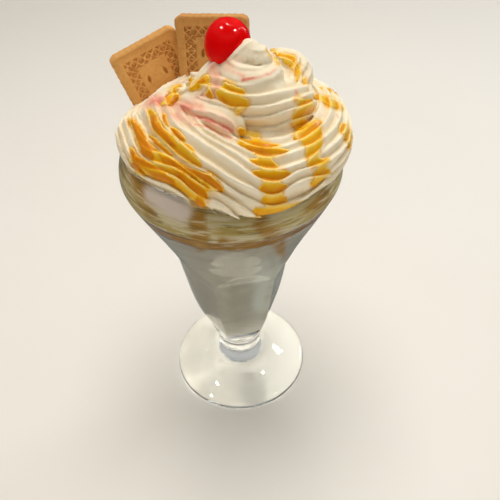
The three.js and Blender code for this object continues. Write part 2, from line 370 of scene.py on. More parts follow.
# Crests of the ridges on the side that the photograph shows, from the top down, as
# they run across the 500 x 500 frame. Elsewhere the ridges follow the rope.
CREST_M = [
    [(165, 40), (190, 85), (200, 108), (215, 122), (238, 139), (254, 146), (268, 148.5), (282, 146.6), (294, 142.2), (304.4, 138.7), (318, 130), (330, 118), (345, 90)],
    [(155, 40), (180, 85), (190, 108), (203, 127), (225, 140), (238, 145.7), (249.4, 151.8), (258.1, 156), (267, 157.8), (276, 157), (287, 153.5), (299.2, 149.2), (314.9, 143.9), (326, 132), (336, 117), (350, 90)],
    [(150, 40), (170, 85), (178, 105), (183, 114.5), (192, 124), (206.8, 135.7), (225.5, 146.4), (238, 153.5), (246.7, 160.5), (255.5, 166), (266, 169.3), (276.4, 169.7), (286.9, 167.5), (300.9, 163.6), (307.9, 159.7), (314.9, 155.3), (325.4, 143.9), (332.4, 133.4), (341, 115)],
    [(140, 40), (160, 85), (168, 108), (171.5, 118), (178, 125), (188.9, 131), (203.2, 141), (221, 153), (238, 164), (251.1, 173.6), (262, 180.6), (271.2, 182.6), (279.9, 181.8), (286.9, 178), (297.4, 171.9), (313.1, 166.6), (322, 165), (334, 158)],
    [(132, 40), (150, 85), (157, 108), (160, 118), (165, 126.5), (172.9, 133.9), (185.4, 146.4), (198.8, 157.1), (216.6, 168.8), (230, 177.7), (244.3, 184), (251, 186.5), (259.8, 192), (267.7, 195.5), (276.4, 195.2), (284.3, 191.8), (290, 187), (299.2, 181.5), (312.3, 177.1), (326, 176)],
    [(125, 50), (140, 95), (147, 112), (148.8, 123), (152.9, 131), (161, 138.6), (169.3, 146.4), (178, 156), (188, 163), (200.5, 169), (212, 175), (223.8, 184), (244.3, 197), (256, 203.6), (265, 206.6), (273, 207), (281.7, 205.1), (292.2, 202), (302.7, 199), (310.5, 192.9), (318, 186)],
    [(118, 60), (130, 100), (137, 112), (139.5, 123), (143.7, 131.4), (147.9, 139), (158.6, 148.2), (169.3, 156.4), (180, 165), (200, 179), (225, 196), (244.3, 210), (259.8, 218.2), (273, 219.5), (290, 215), (300, 208), (312, 200), (325, 190)],
]
CREST_L = [
    [(124, 95), (130, 118), (133, 131), (136.5, 139), (141, 146), (148, 150.5), (156, 152.5), (167, 155), (187.1, 164), (200, 172), (224.6, 184), (244.3, 193), (259, 197), (273, 197), (292, 191), (315, 178)],
    [(118, 95), (126, 121), (130, 133), (134, 145), (140, 154.5), (149.6, 161.6), (156, 163), (167.5, 166), (176.4, 169), (187.1, 175), (196, 182), (207.7, 189), (224.6, 194.6), (244.3, 203), (259.8, 206.8), (273, 207.3), (281.7, 205.1), (292.2, 202), (302.7, 199), (315.8, 187.6)],
    [(112, 100), (119.5, 125), (122, 137.5), (127, 150), (132, 159), (140, 166), (150, 169), (160.4, 171), (170, 175), (180.9, 181), (188, 188), (197, 195), (210.4, 201.8), (224.6, 206.3), (244.3, 214), (259.8, 218.2), (273, 219.5), (290, 215), (300, 208)],
    [(108, 110), (115, 130), (119, 142), (124, 157), (132, 168), (144.3, 176.5), (155, 180.4), (167.5, 184), (176.4, 189.4), (185.4, 197), (198, 208), (211.3, 216.5), (230, 222.3), (250, 227), (273, 231)],
]
CREST_U = [
    [(190, 52), (225, 58), (245, 64), (262, 65), (276, 64), (288, 61), (303, 57)],
    [(190, 62), (215, 66), (229, 70), (240, 74), (262, 74), (279, 70.5), (290, 67), (304, 65)],
    [(190, 72), (220, 77), (231.7, 83), (240.9, 85.5), (252.4, 85.5), (263.9, 82.4), (279.2, 80.1), (293.7, 77.8), (306, 75)],
    [(190, 82), (220.2, 88.6), (231, 93.1), (244.7, 95.8), (260, 96.2), (271.5, 93.9), (283.8, 90.1), (296, 87.8), (310, 84)],
    [(190, 95), (219.5, 103), (231.7, 109), (244.7, 108), (262, 107), (275, 105), (286, 101), (297, 98), (312, 93)],
    [(190, 105), (230, 118), (250, 118.5), (262, 118), (274, 116), (283, 112.5), (293.7, 109), (312, 103)],
    [(190, 116), (230, 127), (244, 128.7), (260, 128.7), (276.1, 128), (286.8, 123.8), (298.3, 119.9), (314, 114)],
    [(190, 124), (225, 130), (242.4, 134.5), (248.6, 139), (260, 141.4), (275.3, 141), (286.8, 138.3), (294.5, 133.7), (309.8, 123), (320, 116)],
]
CREST_F = [
    [(180, 92), (205, 100.5), (222, 102.5), (236, 109), (243, 119), (247, 134)],
    [(180, 104), (195, 109.5), (210, 112), (224, 116.5), (232.5, 122), (238, 131), (240, 141)],
    [(180, 114), (195, 119.5), (207, 121), (218, 126.5), (230, 132.5), (235, 141)],
    [(180, 124), (195, 127.5), (208, 128.8), (220, 135), (230, 140.5)],
]


def crests(strokes, x0=90, x1=380, half=5):
    xs = np.arange(x0, x1 + 1.0)
    kernel = np.array([half + 1 - abs(i) for i in range(-half, half + 1)], float)
    kernel /= kernel.sum()
    rows = []
    for s in strokes:
        s = np.array(s, float)
        y = np.interp(xs, s[:, 0], s[:, 1])
        lo, hi = xs < s[0, 0], xs > s[-1, 0]
        k0 = (s[1, 1] - s[0, 1]) / (s[1, 0] - s[0, 0])
        k1 = (s[-1, 1] - s[-2, 1]) / (s[-1, 0] - s[-2, 0])
        y[lo] = s[0, 1] + (xs[lo] - s[0, 0]) * k0
        y[hi] = s[-1, 1] + (xs[hi] - s[-1, 0]) * k1
        rows.append(np.convolve(np.pad(y, half, mode="edge"), kernel, mode="valid"))
    for i in range(1, len(rows)):
        rows[i] = np.maximum(rows[i], rows[i - 1] + 3.5)
    return np.array(rows, F), x0


GUIDE = {k: crests(v) for k, v in (("M", CREST_M), ("L", CREST_L), ("U", CREST_U))}
GUIDE["F"] = crests(CREST_F, half=2)


def phase(key, px, py):
    """How many crests lie above a pixel, as a fraction."""
    rows, x0 = GUIDE[key]
    f = np.clip(px - x0, 0, rows.shape[1] - 1.001)
    i = f.astype(np.int32)
    f = f - i
    y = rows[:, i] * (1 - f) + rows[:, i + 1] * f
    n = len(rows)
    out = (py - y[0]) / np.maximum(y[1] - y[0], 5)
    for k in range(n - 1):
        out = np.where(py > y[k], k + (py - y[k]) / (y[k + 1] - y[k]), out)
    return np.where(
        py > y[n - 1],
        n - 1 + (py - y[n - 1]) / np.maximum(y[n - 1] - y[n - 2], 6),
        out,
    )


def saw(ph, up=0.19, power=1.1):
    """1 on a crest, 0 in the groove; falls slowly, rises fast."""
    f = ph - np.floor(ph)
    down = np.clip(1 - f / (1 - up), 0, 1) ** power
    s = np.clip((f - (1 - up)) / up, 0, 1)
    return np.where(f < 1 - up, down, s * s * (3 - 2 * s))


RIDGES = 22


def spiral(p, depth):
    """Distance to the spiral. depth is the depth of its ridges."""
    x, y, z = p[:, 0], p[:, 1], p[:, 2]
    r = np.hypot(x, y)
    base = (START - np.degrees(np.arctan2(x, -y))) % 360
    wob, wob2 = noise(p, 9.0, 3), noise(p, 14.0, 8)
    px, py = project(p)
    saws = {k: saw(phase(k, px, py) + 0.07 * wob) for k in "MLU"}
    best = None
    for k in (-1, 0, 1, 2):
        tc = np.clip(base + 360 * k, T0, T1)
        f = (tc - T0) / TSTEP
        i = np.minimum(f.astype(np.int32), len(TAB) - 2)
        f = (f - i)[:, None]
        R, Z, rho = (TAB[i] * (1 - f) + TAB[i + 1] * f).T
        a = np.radians(START - tc)
        d = np.sqrt((x - R * np.sin(a)) ** 2 + (y + R * np.cos(a)) ** 2 + (z - Z) ** 2)
        phi = np.arctan2(z - Z, r - R)
        h = saw(-RIDGES * phi / (2 * np.pi) + 0.12 * wob + 0.25)
        if k <= 0:
            w = 1 - smoothstep(72, 92, tc)
            h = h * (1 - w) + saws["L"] * w
        if k in (0, 1):
            w = smoothstep(292, 312, tc) * (1 - smoothstep(440, 462, tc))
            h = h * (1 - w) + saws["M"] * w
        if k in (1, 2):
            w = smoothstep(610, 640, tc)
            h = h * (1 - w) + saws["U"] * w
        s = d - rho * (1 + 0.012 * wob2) - 0.25 * depth + depth * (1 + 0.3 * wob2) * (1 - h)
        best = s if best is None else smin(best, s, 0.7)
    return best


def on(px, py, y):
    """The point of a pixel's ray at depth y."""
    d = ray(px, py)
    return EYE + d * (y - EYE[1]) / d[1]


def placed(rows):
    """[px, py, y, radius] to [x, y, z, radius]."""
    return [[*on(a, b, y), r] for a, b, y, r in rows]


def spline(pts, n):
    rows = np.column_stack([np.arange(len(pts)), np.array(pts, float)])
    return table(rows, np.linspace(0, len(pts) - 1, n))


def along(p, pts):
    """Distance to a chain of cones [x, y, z, radius], the way along it, the offset from it and its direction."""
    pts = np.array(pts, F)
    c, rad = pts[:, :3], pts[:, 3]
    at = np.concatenate([[0], np.cumsum(np.linalg.norm(np.diff(c, axis=0), axis=1))])
    at = at.astype(F)
    best = np.full(len(p), 1e3, F)
    way = np.zeros(len(p), F)
    off = np.zeros((len(p), 3), F)
    tan = np.zeros((len(p), 3), F)
    for i in range(len(c) - 1):
        ab = c[i + 1] - c[i]
        t = np.clip((p - c[i]) @ ab / (ab @ ab), 0, 1)
        v = p - (c[i] + t[:, None] * ab)
        g = np.sqrt((v * v).sum(1)) - (rad[i] + (rad[i + 1] - rad[i]) * t)
        w = g < best
        best = np.where(w, g, best)
        way = np.where(w, at[i] + t * (at[i + 1] - at[i]), way)
        off[w] = v[w]
        tan[w] = ab / np.linalg.norm(ab)
    return best, way, off, tan


class Lobe:
    """A ridged rope of cream along a few points."""

    def __init__(self, pts, ridges=12, depth=0.8, twist=0.0, turn=0.0, n=18, seed=5, guide=None):
        self.pts = spline(pts, n)
        self.lo = (self.pts[:, :3] - self.pts[:, 3:]).min(0).astype(F) - 2.5
        self.hi = (self.pts[:, :3] + self.pts[:, 3:]).max(0).astype(F) + 2.5
        self.ridges, self.depth, self.twist, self.turn = ridges, depth, twist, turn
        self.seed, self.guide = seed, guide

    def __call__(self, p, scale):
        e = np.maximum(np.maximum(self.lo - p, p - self.hi), 0)
        out = (np.sqrt((e * e).sum(1)) + 1.5).astype(F)
        m = np.all((p > self.lo) & (p < self.hi), axis=1)
        if not m.any():
            return out
        q = p[m]
        d, way, off, tan = along(q, self.pts)
        if self.guide:
            px, py = project(q)
            h = saw(phase(self.guide, px, py) + 0.06 * noise(q, 7.0, self.seed))
        else:
            side = np.cross(tan, np.array((0, 0, 1), F))
            side /= np.linalg.norm(side, axis=1)[:, None] + 1e-6
            top = np.cross(side, tan)
            phi = np.arctan2((off * top).sum(1), (off * side).sum(1))
            h = saw(
                -self.ridges * phi / (2 * np.pi)
                + self.twist * way
                + self.turn
                + 0.1 * noise(q, 6.0, self.seed)
            )
        depth = self.depth * scale
        out[m] = d - 0.25 * depth + depth * (1 - h) * (1 + 0.25 * noise(q, 7.0, self.seed + 1))
        return out


DOLLOP = [
    # turns piped, distance from the axis, height, rope radius
    [0.0, 7.2, 198.2, 5.8],
    [0.5, 7.6, 199.4, 6.3],
    [1.0, 5.9, 202.4, 6.3],
    [1.35, 3.2, 205.2, 5.7],
    [1.65, 1.3, 208.2, 4.5],
    [1.9, 0.5, 210.8, 3.0],
]


def swirl(turns, a0, at):
    rows = []
    for u in np.linspace(0, turns, 13):
        R, z, rho = table(DOLLOP, np.array([u]))[0]
        a = math.radians(a0 - 360 * u)
        lean = 1.4 * (u / turns) ** 2
        rows.append([at[0] + R * math.sin(a) + lean, at[1] - R * math.cos(a), z, rho])
    return rows


LOBES = [
    # the pink folds at the left of the upper tier
    Lobe(placed([(186, 105, -13, 3.6), (198, 112, -18, 4.6), (212, 117, -21.5, 5.2), (224, 121, -24, 5.9), (231, 126, -25.2, 6.0)]), depth=1.6, guide="F"),
    # the dollop's left flank, against the cherry
    Lobe(placed([(249, 50, -8.4, 4.2), (242, 57, -9.0, 4.5), (235, 63.5, -8.8, 3.9), (227.5, 69.5, -7.8, 2.9), (220, 73.5, -6.6, 2.0)]), ridges=6, depth=0.7, seed=29),
    # the stained slope under the cherry
    Lobe(placed([(218, 74, -6, 6.2), (208, 86, -8, 6.4), (199, 97, -9, 6.6), (188, 104, -8, 6.4)]), ridges=8, depth=1.1, turn=0.3, seed=11),
    # the lump at the upper left
    Lobe(placed([(190, 98, 2, 5.6), (176, 98, 2, 6.2), (163, 105, 0, 6.4), (154, 114, -4, 5.6)]), ridges=9, depth=1.2, seed=13),
    # the edge that hangs over the rim at the front
    Lobe([[43.4 * math.sin(math.radians(a)), -43.4 * math.cos(math.radians(a)), 165.0, r] for a, r in ((-6, 6.5), (4, 8.4), (16, 8.8), (28, 8.6), (42, 8.0), (56, 7.0))], depth=2.0, guide="M", seed=23),
    # behind the dollop
    Lobe(placed([(266, 70, 12, 7.0), (280, 70, 13, 9.2), (292, 75, 11, 9.2), (294, 87, 3, 6.6)]), ridges=12, depth=1.3, seed=17),
    # the last small dollop
    Lobe(swirl(1.9, -110, (9.2, -8.2)), ridges=6, depth=0.8, twist=0.02, n=50, seed=19),
    # the smooth lobe at the far left
    Lobe(placed([(132, 125, 4, 3.8), (127.5, 131, 2, 4.3), (127, 140, -2, 4.6), (130, 150, -6, 4.2)]), ridges=6, depth=0.9, seed=29),
]
CORE = [(1, 2, 152, 27), (1.5, 1.5, 160, 25), (2, 1, 168, 22.5), (3.5, -1, 176, 18.5), (5, -3, 184, 14), (7, -5, 191, 10), (8, -5, 196, 7)]
# what lies under the fold where the tiers meet
UNDER = [[1, -24.5, 180, 4.6], [8, -24.2, 180.4, 4.8], [14, -23.8, 180.4, 4.6], [21, -21.5, 180, 4.2]]


def mound(p, scale=1.0, fine=True):
    """The whole cream above the rim. scale 1 gives full ridges, 0 none."""
    d = smin(spiral(p, 2.05 * scale), np.minimum(along(p, CORE)[0], along(p, UNDER)[0]), 1.0)
    for lobe in LOBES:
        d = smin(d, lobe(p, scale), 0.7)
    if fine:
        d = d + 0.15 * noise(p, 2.3, 21) + 0.07 * noise(p, 1.1, 22)
    return d

# ------------------------------------------------------------------ glass
OUTER = [
    [30.9, 13.41], [34.2, 15.21], [39.6, 17.73], [46.8, 20.5], [56.7, 23.6],
    [68.4, 26.1], [81, 28.2], [90.9, 29.8], [97.2, 30.9], [102, 31.8], [106, 32.8],
    [110, 34.2], [114, 35.9], [118, 37.7], [122, 39.4], [126.9, 41.7], [135, 45.4],
    [143.1, 49], [150.3, 51.6], [155.7, 51.3], [160.2, 49.86], [163.8, 48.42], [165.1, 47.6],
]
INNER = [
    [38.3, 5.2], [39.7, 9.8], [42.6, 12.6], [48.2, 15.4], [56.7, 18],
    [68.4, 20.4], [81, 22.3], [90.9, 24], [97.2, 25.4], [102, 27], [106, 29],
    [110, 31], [114, 32.9], [118, 34.8], [122, 36.6], [126.9, 38.9], [135, 42.6],
    [143.1, 46.2], [150.3, 48.8], [155.7, 48.6], [160.2, 47.25], [163.8, 45.9], [165.4, 45.3],
]
FOOT = [
    [0, 38.34], [0.4, 39.1], [0.81, 39.33], [2.16, 39.6], [3.69, 38.97],
]
FOOT_TOP = [
    [38.97, 3.69], [37.2, 4.5], [34.2, 5.1], [29, 6.3], [24.3, 7.9], [20.2, 9.9],
    [17.0, 12.4], [14.8, 15.2], [13.3, 18.0], [12.5, 19.9], [12.3, 20.5], [12.55, 21.0],
    [12.8, 21.7], [12.85, 23.4], [12.8, 26], [12.8, 28.6], [13.0, 30.0], [13.41, 30.9],
]
FLUTE_TURN, FLUTE_FROM, FLUTE_TO = -22.0, (29.7, 37.8), (93.6, 109.8)
RIM_Z = 165.6


def outer_r(z):
    return table(OUTER, np.atleast_1d(z))[:, 0]


def inner_r(z):
    return table(INNER, np.atleast_1d(z))[:, 0]


def fluted(az, r, z):
    """The ribs of the cone: six flats with arched tops."""
    w = float(smoothstep(*FLUTE_FROM, z) * (1 - smoothstep(*FLUTE_TO, z)))
    if w <= 0:
        return np.full(len(az), float(r))
    step = 60.0
    d = (az - FLUTE_TURN - step / 2 + step / 2) % step - step / 2
    d = ((az - (FLUTE_TURN + step / 2) + step / 2) % step) - step / 2
    flat = r * (1 - (1 - math.cos(math.radians(step / 2))) * w)
    x = flat / np.cos(np.radians(d))
    # rounded ribs
    k = 0.35
    h = np.maximum(k - np.abs(x - r), 0) / k
    return np.minimum(x, r) - h * h * k * 0.25


def rows_of(profile, step):
    """A finer profile [[r, z], ...] through the given one."""
    p = np.array(profile, float)
    s = np.concatenate([[0], np.cumsum(np.linalg.norm(np.diff(p, axis=0), axis=1))])
    n = max(2, int(round(s[-1] / step)) + 1)
    return table(np.column_stack([s, p]), np.linspace(0, s[-1], n)).tolist()


def make_glass():
    # a slight hollow under the foot, as pressed glasses have
    under = [[4, 1.1], [14, 1.1], [24, 1.05], [31, 0.75], [35.5, 0.12], [37, 0]]
    foot = [[38.34, 0], [39.1, 0.32], [39.5, 1.0], [39.6, 2.0], [39.35, 3.0], [38.7, 3.85]]
    stem = rows_of([[37.6, 4.35]] + FOOT_TOP[2:], 0.8)
    zs = np.arange(31.4, 164.4, 1.1)
    wall = [[float(r), float(z)] for r, z in zip(outer_r(zs), zs)]
    rim = [[48.15, 164.4], [47.75, 165.1], [47.15, 165.5], [46.6, RIM_Z], [46.05, 165.5], [45.6, 165.1], [45.55, 164.5]]
    zi = np.arange(163.9, 39.9, -1.1)
    inside = [[float(r), float(z)] for r, z in zip(inner_r(zi), zi)]
    floor = [[9.6, 39.5], [7.8, 38.8], [5.2, 38.3], [2.6, 38.05]]
    profile = under + foot + stem + wall + rim + inside + floor
    inner_from = len(under + foot + stem + wall + rim)
    seg = 216
    rows = []
    ang = np.arange(seg) * 360.0 / seg
    a = np.radians(ang)
    verts = []
    for i, (r, z) in enumerate(profile):
        rr = fluted(ang, r, z) if i < inner_from else np.full(seg, r)
        verts.append(np.column_stack([rr * np.sin(a), -rr * np.cos(a), np.full(seg, z)]))
    verts = np.concatenate(verts)
    j = np.arange(seg)
    k = (j + 1) % seg
    quads = np.concatenate(
        [
            np.column_stack([i * seg + j, i * seg + k, (i + 1) * seg + k, (i + 1) * seg + j])
            for i in range(len(profile) - 1)
        ]
    )
    n = len(verts)
    verts = np.vstack([verts, [0, 0, profile[0][1]], [0, 0, 37.9]])
    last = (len(profile) - 1) * seg
    tris = np.vstack(
        [
            np.column_stack([np.full(seg, n), k, j]),
            np.column_stack([np.full(seg, n + 1), last + j, last + k]),
        ]
    )
    return make("glass_body", verts, quads, tris)


# ------------------------------------------------------------------ fillings
INTO_WALL = 0.18


def solid_of(rings, top, bottom):
    """A closed body of equally long rings from the bottom up."""
    seg = len(rings[0])
    verts = np.concatenate(rings + [np.array([bottom, top], float)])
    j = np.arange(seg)
    k = (j + 1) % seg
    quads = np.concatenate(
        [
            np.column_stack([i * seg + j, i * seg + k, (i + 1) * seg + k, (i + 1) * seg + j])
            for i in range(len(rings) - 1)
        ]
    )
    n = len(rings) * seg
    last = (len(rings) - 1) * seg
    tris = np.vstack(
        [
            np.column_stack([np.full(seg, n), k, j]),
            np.column_stack([np.full(seg, n + 1), last + j, last + k]),
        ]
    )
    return verts, quads, tris


def wavy(az, z, seed, lumps=4.0):
    a = np.radians(az)
    p = np.column_stack([40 * np.sin(a), -40 * np.cos(a), np.full(len(az), z)])
    return noise(p.astype(F), lumps, seed)


def filling(name, low, high, step, seg, bump=0.0, seed=31):
    """What fills the glass from low(az) to high(az), from just inside one wall to the other."""
    az = np.arange(seg) * 360.0 / seg
    a = np.radians(az)
    lo, hi = low(az), high(az)
    n = max(3, int(round((hi.mean() - lo.mean()) / step)))
    rings = []

    def ring(z, inset):
        r = inner_r(z) + INTO_WALL - inset
        return np.column_stack([r * np.sin(a), -r * np.cos(a), z])

    mid_lo, mid_hi = lo.mean(), hi.mean()
    for f in (0.3, 0.7, 0.93):
        r = (inner_r(lo) + INTO_WALL - 0.6) * f
        z = mid_lo + (lo - mid_lo) * f
        rings.append(np.column_stack([r * np.sin(a), -r * np.cos(a), z]))
    for i in range(n + 1):
        t = i / n
        z = lo + (hi - lo) * t
        edge = 0.5 if i in (0, n) else 0.0
        rings.append(ring(z, edge))
    for f in (0.93, 0.7, 0.3):
        r = (inner_r(hi) + INTO_WALL - 0.6) * f
        z = mid_hi + (hi - mid_hi) * f
        rings.append(np.column_stack([r * np.sin(a), -r * np.cos(a), z]))
    v, q, t = solid_of(rings, [0, 0, mid_hi], [0, 0, mid_lo])
    return make(name, v, q, t)


# ------------------------------------------------------------------ biscuits
BISCUIT_W, BISCUIT_L, BISCUIT_T = 32.4, 51.8, 5.8


def euler(rx, ry, rz):
    """Rotation about x, then y, then z."""
    a, b, c = (math.radians(v) for v in (rx, ry, rz))
    X = np.array([[1, 0, 0], [0, math.cos(a), -math.sin(a)], [0, math.sin(a), math.cos(a)]])
    Y = np.array([[math.cos(b), 0, math.sin(b)], [0, 1, 0], [-math.sin(b), 0, math.cos(b)]])
    Z = np.array([[math.cos(c), -math.sin(c), 0], [math.sin(c), math.cos(c), 0], [0, 0, 1]])
    return Z @ Y @ X


def biscuit_field(seed):
    def field(p):
        x, y, z = p[:, 0], p[:, 1], p[:, 2]
        W, L, T = BISCUIT_W / 2 - 0.15, BISCUIT_L / 2 - 0.15, BISCUIT_T / 2 - 0.1
        # scalloped sides: small rounded teeth
        around = np.where(np.abs(x) / W > np.abs(z) / L, z, x)
        teeth = 0.2 * (1 - np.abs(np.sin(np.pi * around / 2.85)) ** 0.7)
        c = 3.0
        qx, qz = np.abs(x) - (W - c), np.abs(z) - (L - c)
        plan = (
            np.sqrt(np.maximum(qx, 0) ** 2 + np.maximum(qz, 0) ** 2)
            + np.minimum(np.maximum(qx, qz), 0)
            - c
            + teeth
        )
        q = np.stack([plan + 1.0, np.abs(y) - T + 1.0], -1)
        d = (
            np.sqrt((np.maximum(q, 0) ** 2).sum(-1))
            + np.minimum(np.maximum(q[:, 0], q[:, 1]), 0)
            - 1.0
        )
        # the pressed face, on the front
        inset = np.minimum(W - np.abs(x), L - np.abs(z))
        cut = np.full(len(p), 9.0, F)
        # lattice band: crossing thin bars over a recess
        side = W - np.abs(x) < L - np.abs(z)
        u = np.where(side, z, x)
        v = inset - 4.4
        wide, period = 4.4, 3.7
        k = v * period / wide
        cross = np.minimum(
            np.abs(((u + k) / period + 0.5) % 1 - 0.5), np.abs(((u - k) / period + 0.5) % 1 - 0.5)
        ) * period * 0.76
        # a bar between one cross and the next
        rung = np.abs((u / period + 0.5) % 1 - 0.5) * period
        hollow = np.maximum(np.maximum(-v, v - wide), 0.34 - np.minimum(cross, rung + 0.12))
        cut = np.minimum(cut, hollow)
        depth = np.full(len(p), 0.85, F)
        face = -T + depth
        d = smax(d, -np.maximum(cut, y - face), 0.14)
        # leaf-shaped docker holes in the middle field
        for cx, cz, tilt in HOLES:
            ca, sa = math.cos(tilt), math.sin(tilt)
            a = (x - cx) * ca + (z - cz) * sa
            b = -(x - cx) * sa + (z - cz) * ca
            leaf = np.sqrt((np.abs(a) + 2.0) ** 2 + b * b) - 2.75
            d = smax(d, -np.maximum(leaf, y - (-T + 1.5)), 0.35)
        # baked surface
        d = d + 0.09 * noise(p, 1.7, seed) + 0.05 * noise(p, 0.8, seed + 1) + 0.12 * noise(p, 6.0, seed + 2)
        return d

    return field


def smax(a, b, k):
    return -smin(-a, -b, k)


HOLES = [
    (sx * 4.2, z - 2.6, sx * 0.1) for z in (-12.5, 0.0, 12.5) for sx in (-1, 1)
]


def make_biscuit(name, at, tilt, seed):
    h = 0.30
    R = euler(*tilt)
    f, lo, need, where, vals = sample(
        biscuit_field(seed),
        (-BISCUIT_W / 2 - 1, -BISCUIT_T / 2 - 1, -BISCUIT_L / 2 - 1),
        (BISCUIT_W / 2 + 1, BISCUIT_T / 2 + 1, BISCUIT_L / 2 + 1),
        h,
        0.5,
    )
    v, q = surface_nets(f, lo, h)
    ob = make(name, v @ R.T + np.array(at), q)
    # how far in from the pressed front face a point lies; the biscuit is painted darker and browner there as painted
    # shade
    attribute(ob, "height", np.clip((v[:, 1] + BISCUIT_T / 2) / 1.2, 0, 1))
    edge = np.minimum(BISCUIT_W / 2 - np.abs(v[:, 0]), BISCUIT_L / 2 - np.abs(v[:, 2]))
    attribute(ob, "rim", np.clip(1 - edge / 4.0, 0, 1))
    return ob


# ------------------------------------------------------------------ cherry
def make_cherry():
    n, seg = ((72, 108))
    up, down, r0 = 10.0, 10.8, 9.3
    rings = []
    az = np.arange(seg) * 360.0 / seg
    a = np.radians(az)
    for i in range(1, n):
        t = math.pi * (i / n - 0.5)
        z = (down if t < 0 else up) * math.sin(t)
        r = r0 * math.cos(t) ** (1.02 if t < 0 else 0.86)
        # the dimple where the stem was, and a faint seam
        if z > 0:
            z -= 0.9 * math.exp(-((r / 2.2) ** 2))
        p = np.column_stack([r * np.sin(a), -r * np.cos(a), np.full(seg, z)])
        w = 1 + 0.012 * noise(p.astype(F), 6.0, 51) + 0.006 * noise(p.astype(F), 2.4, 52)
        w = w - 0.012 * np.exp(-(((a - 0.7) / 0.12) ** 2)) - 0.01
        rings.append(p * w[:, None])
    v, q, t = solid_of(rings, [0, 0, up - 0.9], [0, 0, -down + 0.05])
    v = v @ euler(3, 16, 0).T + np.array([0.9, -0.9, 209.6])
    return make("cherry_body", v, q, t)

# ------------------------------------------------------------------ strokes drawn in the frame
# caramel: [px, py, half width] along each run
CARAMEL = [
    # left channel
    [(130.4, 120.2, 2.4), (134.5, 125.3, 4.6), (139.6, 133.5, 6.2), (142.7, 141.6, 7), (146.7, 149.8, 7.5), (150.8, 155, 5.5)],
    # band under it
    [(132.4, 149.8, 3), (133.5, 158, 4.5), (140.6, 163, 6.5), (148.8, 167.1, 6.5), (155.9, 172.2, 6.5), (163, 175.3, 6), (170.2, 180.4, 4.8), (174.3, 183.4, 2.5)],
    [(134, 164, 3.5), (139, 171, 4.5), (144, 175, 2.5)],
    # ribs above the channel
    [(150.8, 136.5, 2), (155.9, 142.6, 3.6), (163, 148.8, 3.4), (171.2, 155.9, 2.6)],
    [(153.9, 117.1, 4.2), (153.9, 123.3, 4.6), (158, 129.4, 5), (165.1, 136.5, 5.5), (171.3, 142.2, 4), (176, 146, 2)],
    [(164, 115, 2), (164.6, 121.2, 2.4), (167.1, 125.3, 1.8)],
    [(173.3, 129.4, 2.2), (177.3, 133.5, 4), (181.4, 138.6, 3)],
    [(176.3, 96.7, 3.4), (172.8, 101.8, 3.4)],
    # deep band, left to the middle
    [(150.8, 148.8, 2.5), (161, 154.9, 4.4), (167.1, 160, 6), (175.3, 163, 4.5), (181.4, 168.2, 5), (191.6, 173.3, 5.5), (199.8, 175.8, 5.5), (208, 179.4, 7), (215.1, 185.5, 6), (220, 188.6, 3)],
    [(168.2, 162, 3), (173.3, 169.2, 3), (181.4, 174, 4.5), (186.5, 179.4, 5), (193.7, 185.5, 6), (200.8, 190.6, 6.5), (201, 198, 6.5), (200, 206, 6), (200, 212, 4.5)],
    [(204.9, 184.5, 5), (208, 190, 4)],
    # under the cherry, left
    [(204.9, 79.4, 3.6), (198.8, 83.5, 4), (197.8, 88.6, 2)],
    [(209, 86.5, 2.6), (209.5, 92.7, 3), (210.5, 97, 1.4)],
    [(170.2, 91.6, 2.2), (175.3, 87.6, 2.8), (179, 85.5, 2)],
    [(190.6, 86.5, 2.4), (191.6, 80.5, 2.2)],
    [(225.3, 85.5, 2.2), (232.4, 89.6, 3.6), (241.6, 93.7, 2.2)],
    # coated fin beside the upper tier
    [(222.2, 94.7, 2), (223.2, 99.8, 2.5), (228.4, 101.8, 2)],
    [(228, 107, 2.4), (236.5, 110, 2.8), (242, 111, 2)],
    # front run
    [(244.7, 131.4, 4), (252.9, 133.5, 3.6), (258, 134, 3)],
    [(240.6, 140.5, 3), (248.8, 144.7, 4.6), (258.7, 147.9, 6.4), (268, 149, 6.8), (276, 150, 5), (284, 151.5, 3.4)],
    [(256, 153, 3), (266, 155.5, 3.6), (272, 155, 3)],
    [(254.2, 161, 3), (262.9, 163.2, 4.6), (270.5, 163.2, 5), (272.7, 167.5, 3)],
    [(257.6, 172.2, 3.6), (266, 174.5, 5.6), (276, 174, 5.6), (285, 172.9, 4)],
    [(266, 187, 5.5), (275, 187.5, 6), (283, 186, 3)],
    [(267, 199, 5.5), (275, 200, 6), (283, 199, 3.5)],
    [(258, 211, 4), (268, 211.5, 5.5), (280, 210.5, 5.5), (292, 209, 4.5), (300, 207, 3)],
    [(258, 217, 2.5), (268, 218, 3), (276, 217.5, 2.5)],
    # right
    [(300.9, 100.3, 3), (308.5, 106.8, 4.5), (302, 112.2, 5), (296.5, 116.5, 3.2)],
    [(304.1, 125.2, 3.6), (313.9, 125.2, 5.5), (308.5, 131.7, 5.5), (299.7, 135.6, 2.8)],
    [(317.1, 139.3, 4.5), (309.5, 143.6, 4.5)],
    [(318, 148, 2), (313.9, 152.3, 2.6)],
    [(309.7, 162.1, 3), (320.4, 163.2, 4), (328, 161, 3)],
    [(318.3, 172.9, 3.6), (328, 171.8, 3)],
    [(305.2, 79.7, 2.6), (306, 83, 1.8)],
    [(319, 96.8, 2.6), (326.9, 100.3, 2.8), (335.6, 105.7, 2)],
    [(343.2, 129.5, 3.6), (344.5, 132, 2.6)],
    [(350.8, 136.1, 2.6), (351.8, 146.9, 2.2)],
    # the lobe behind the dollop
    [(270.6, 52.5, 2.4), (277, 56.8, 3.8), (278.1, 63.4, 2.2)],
    [(288, 57.5, 3.4), (293.3, 62.3, 4)],
    [(299.8, 72.1, 2.8), (297, 79, 2)],
]
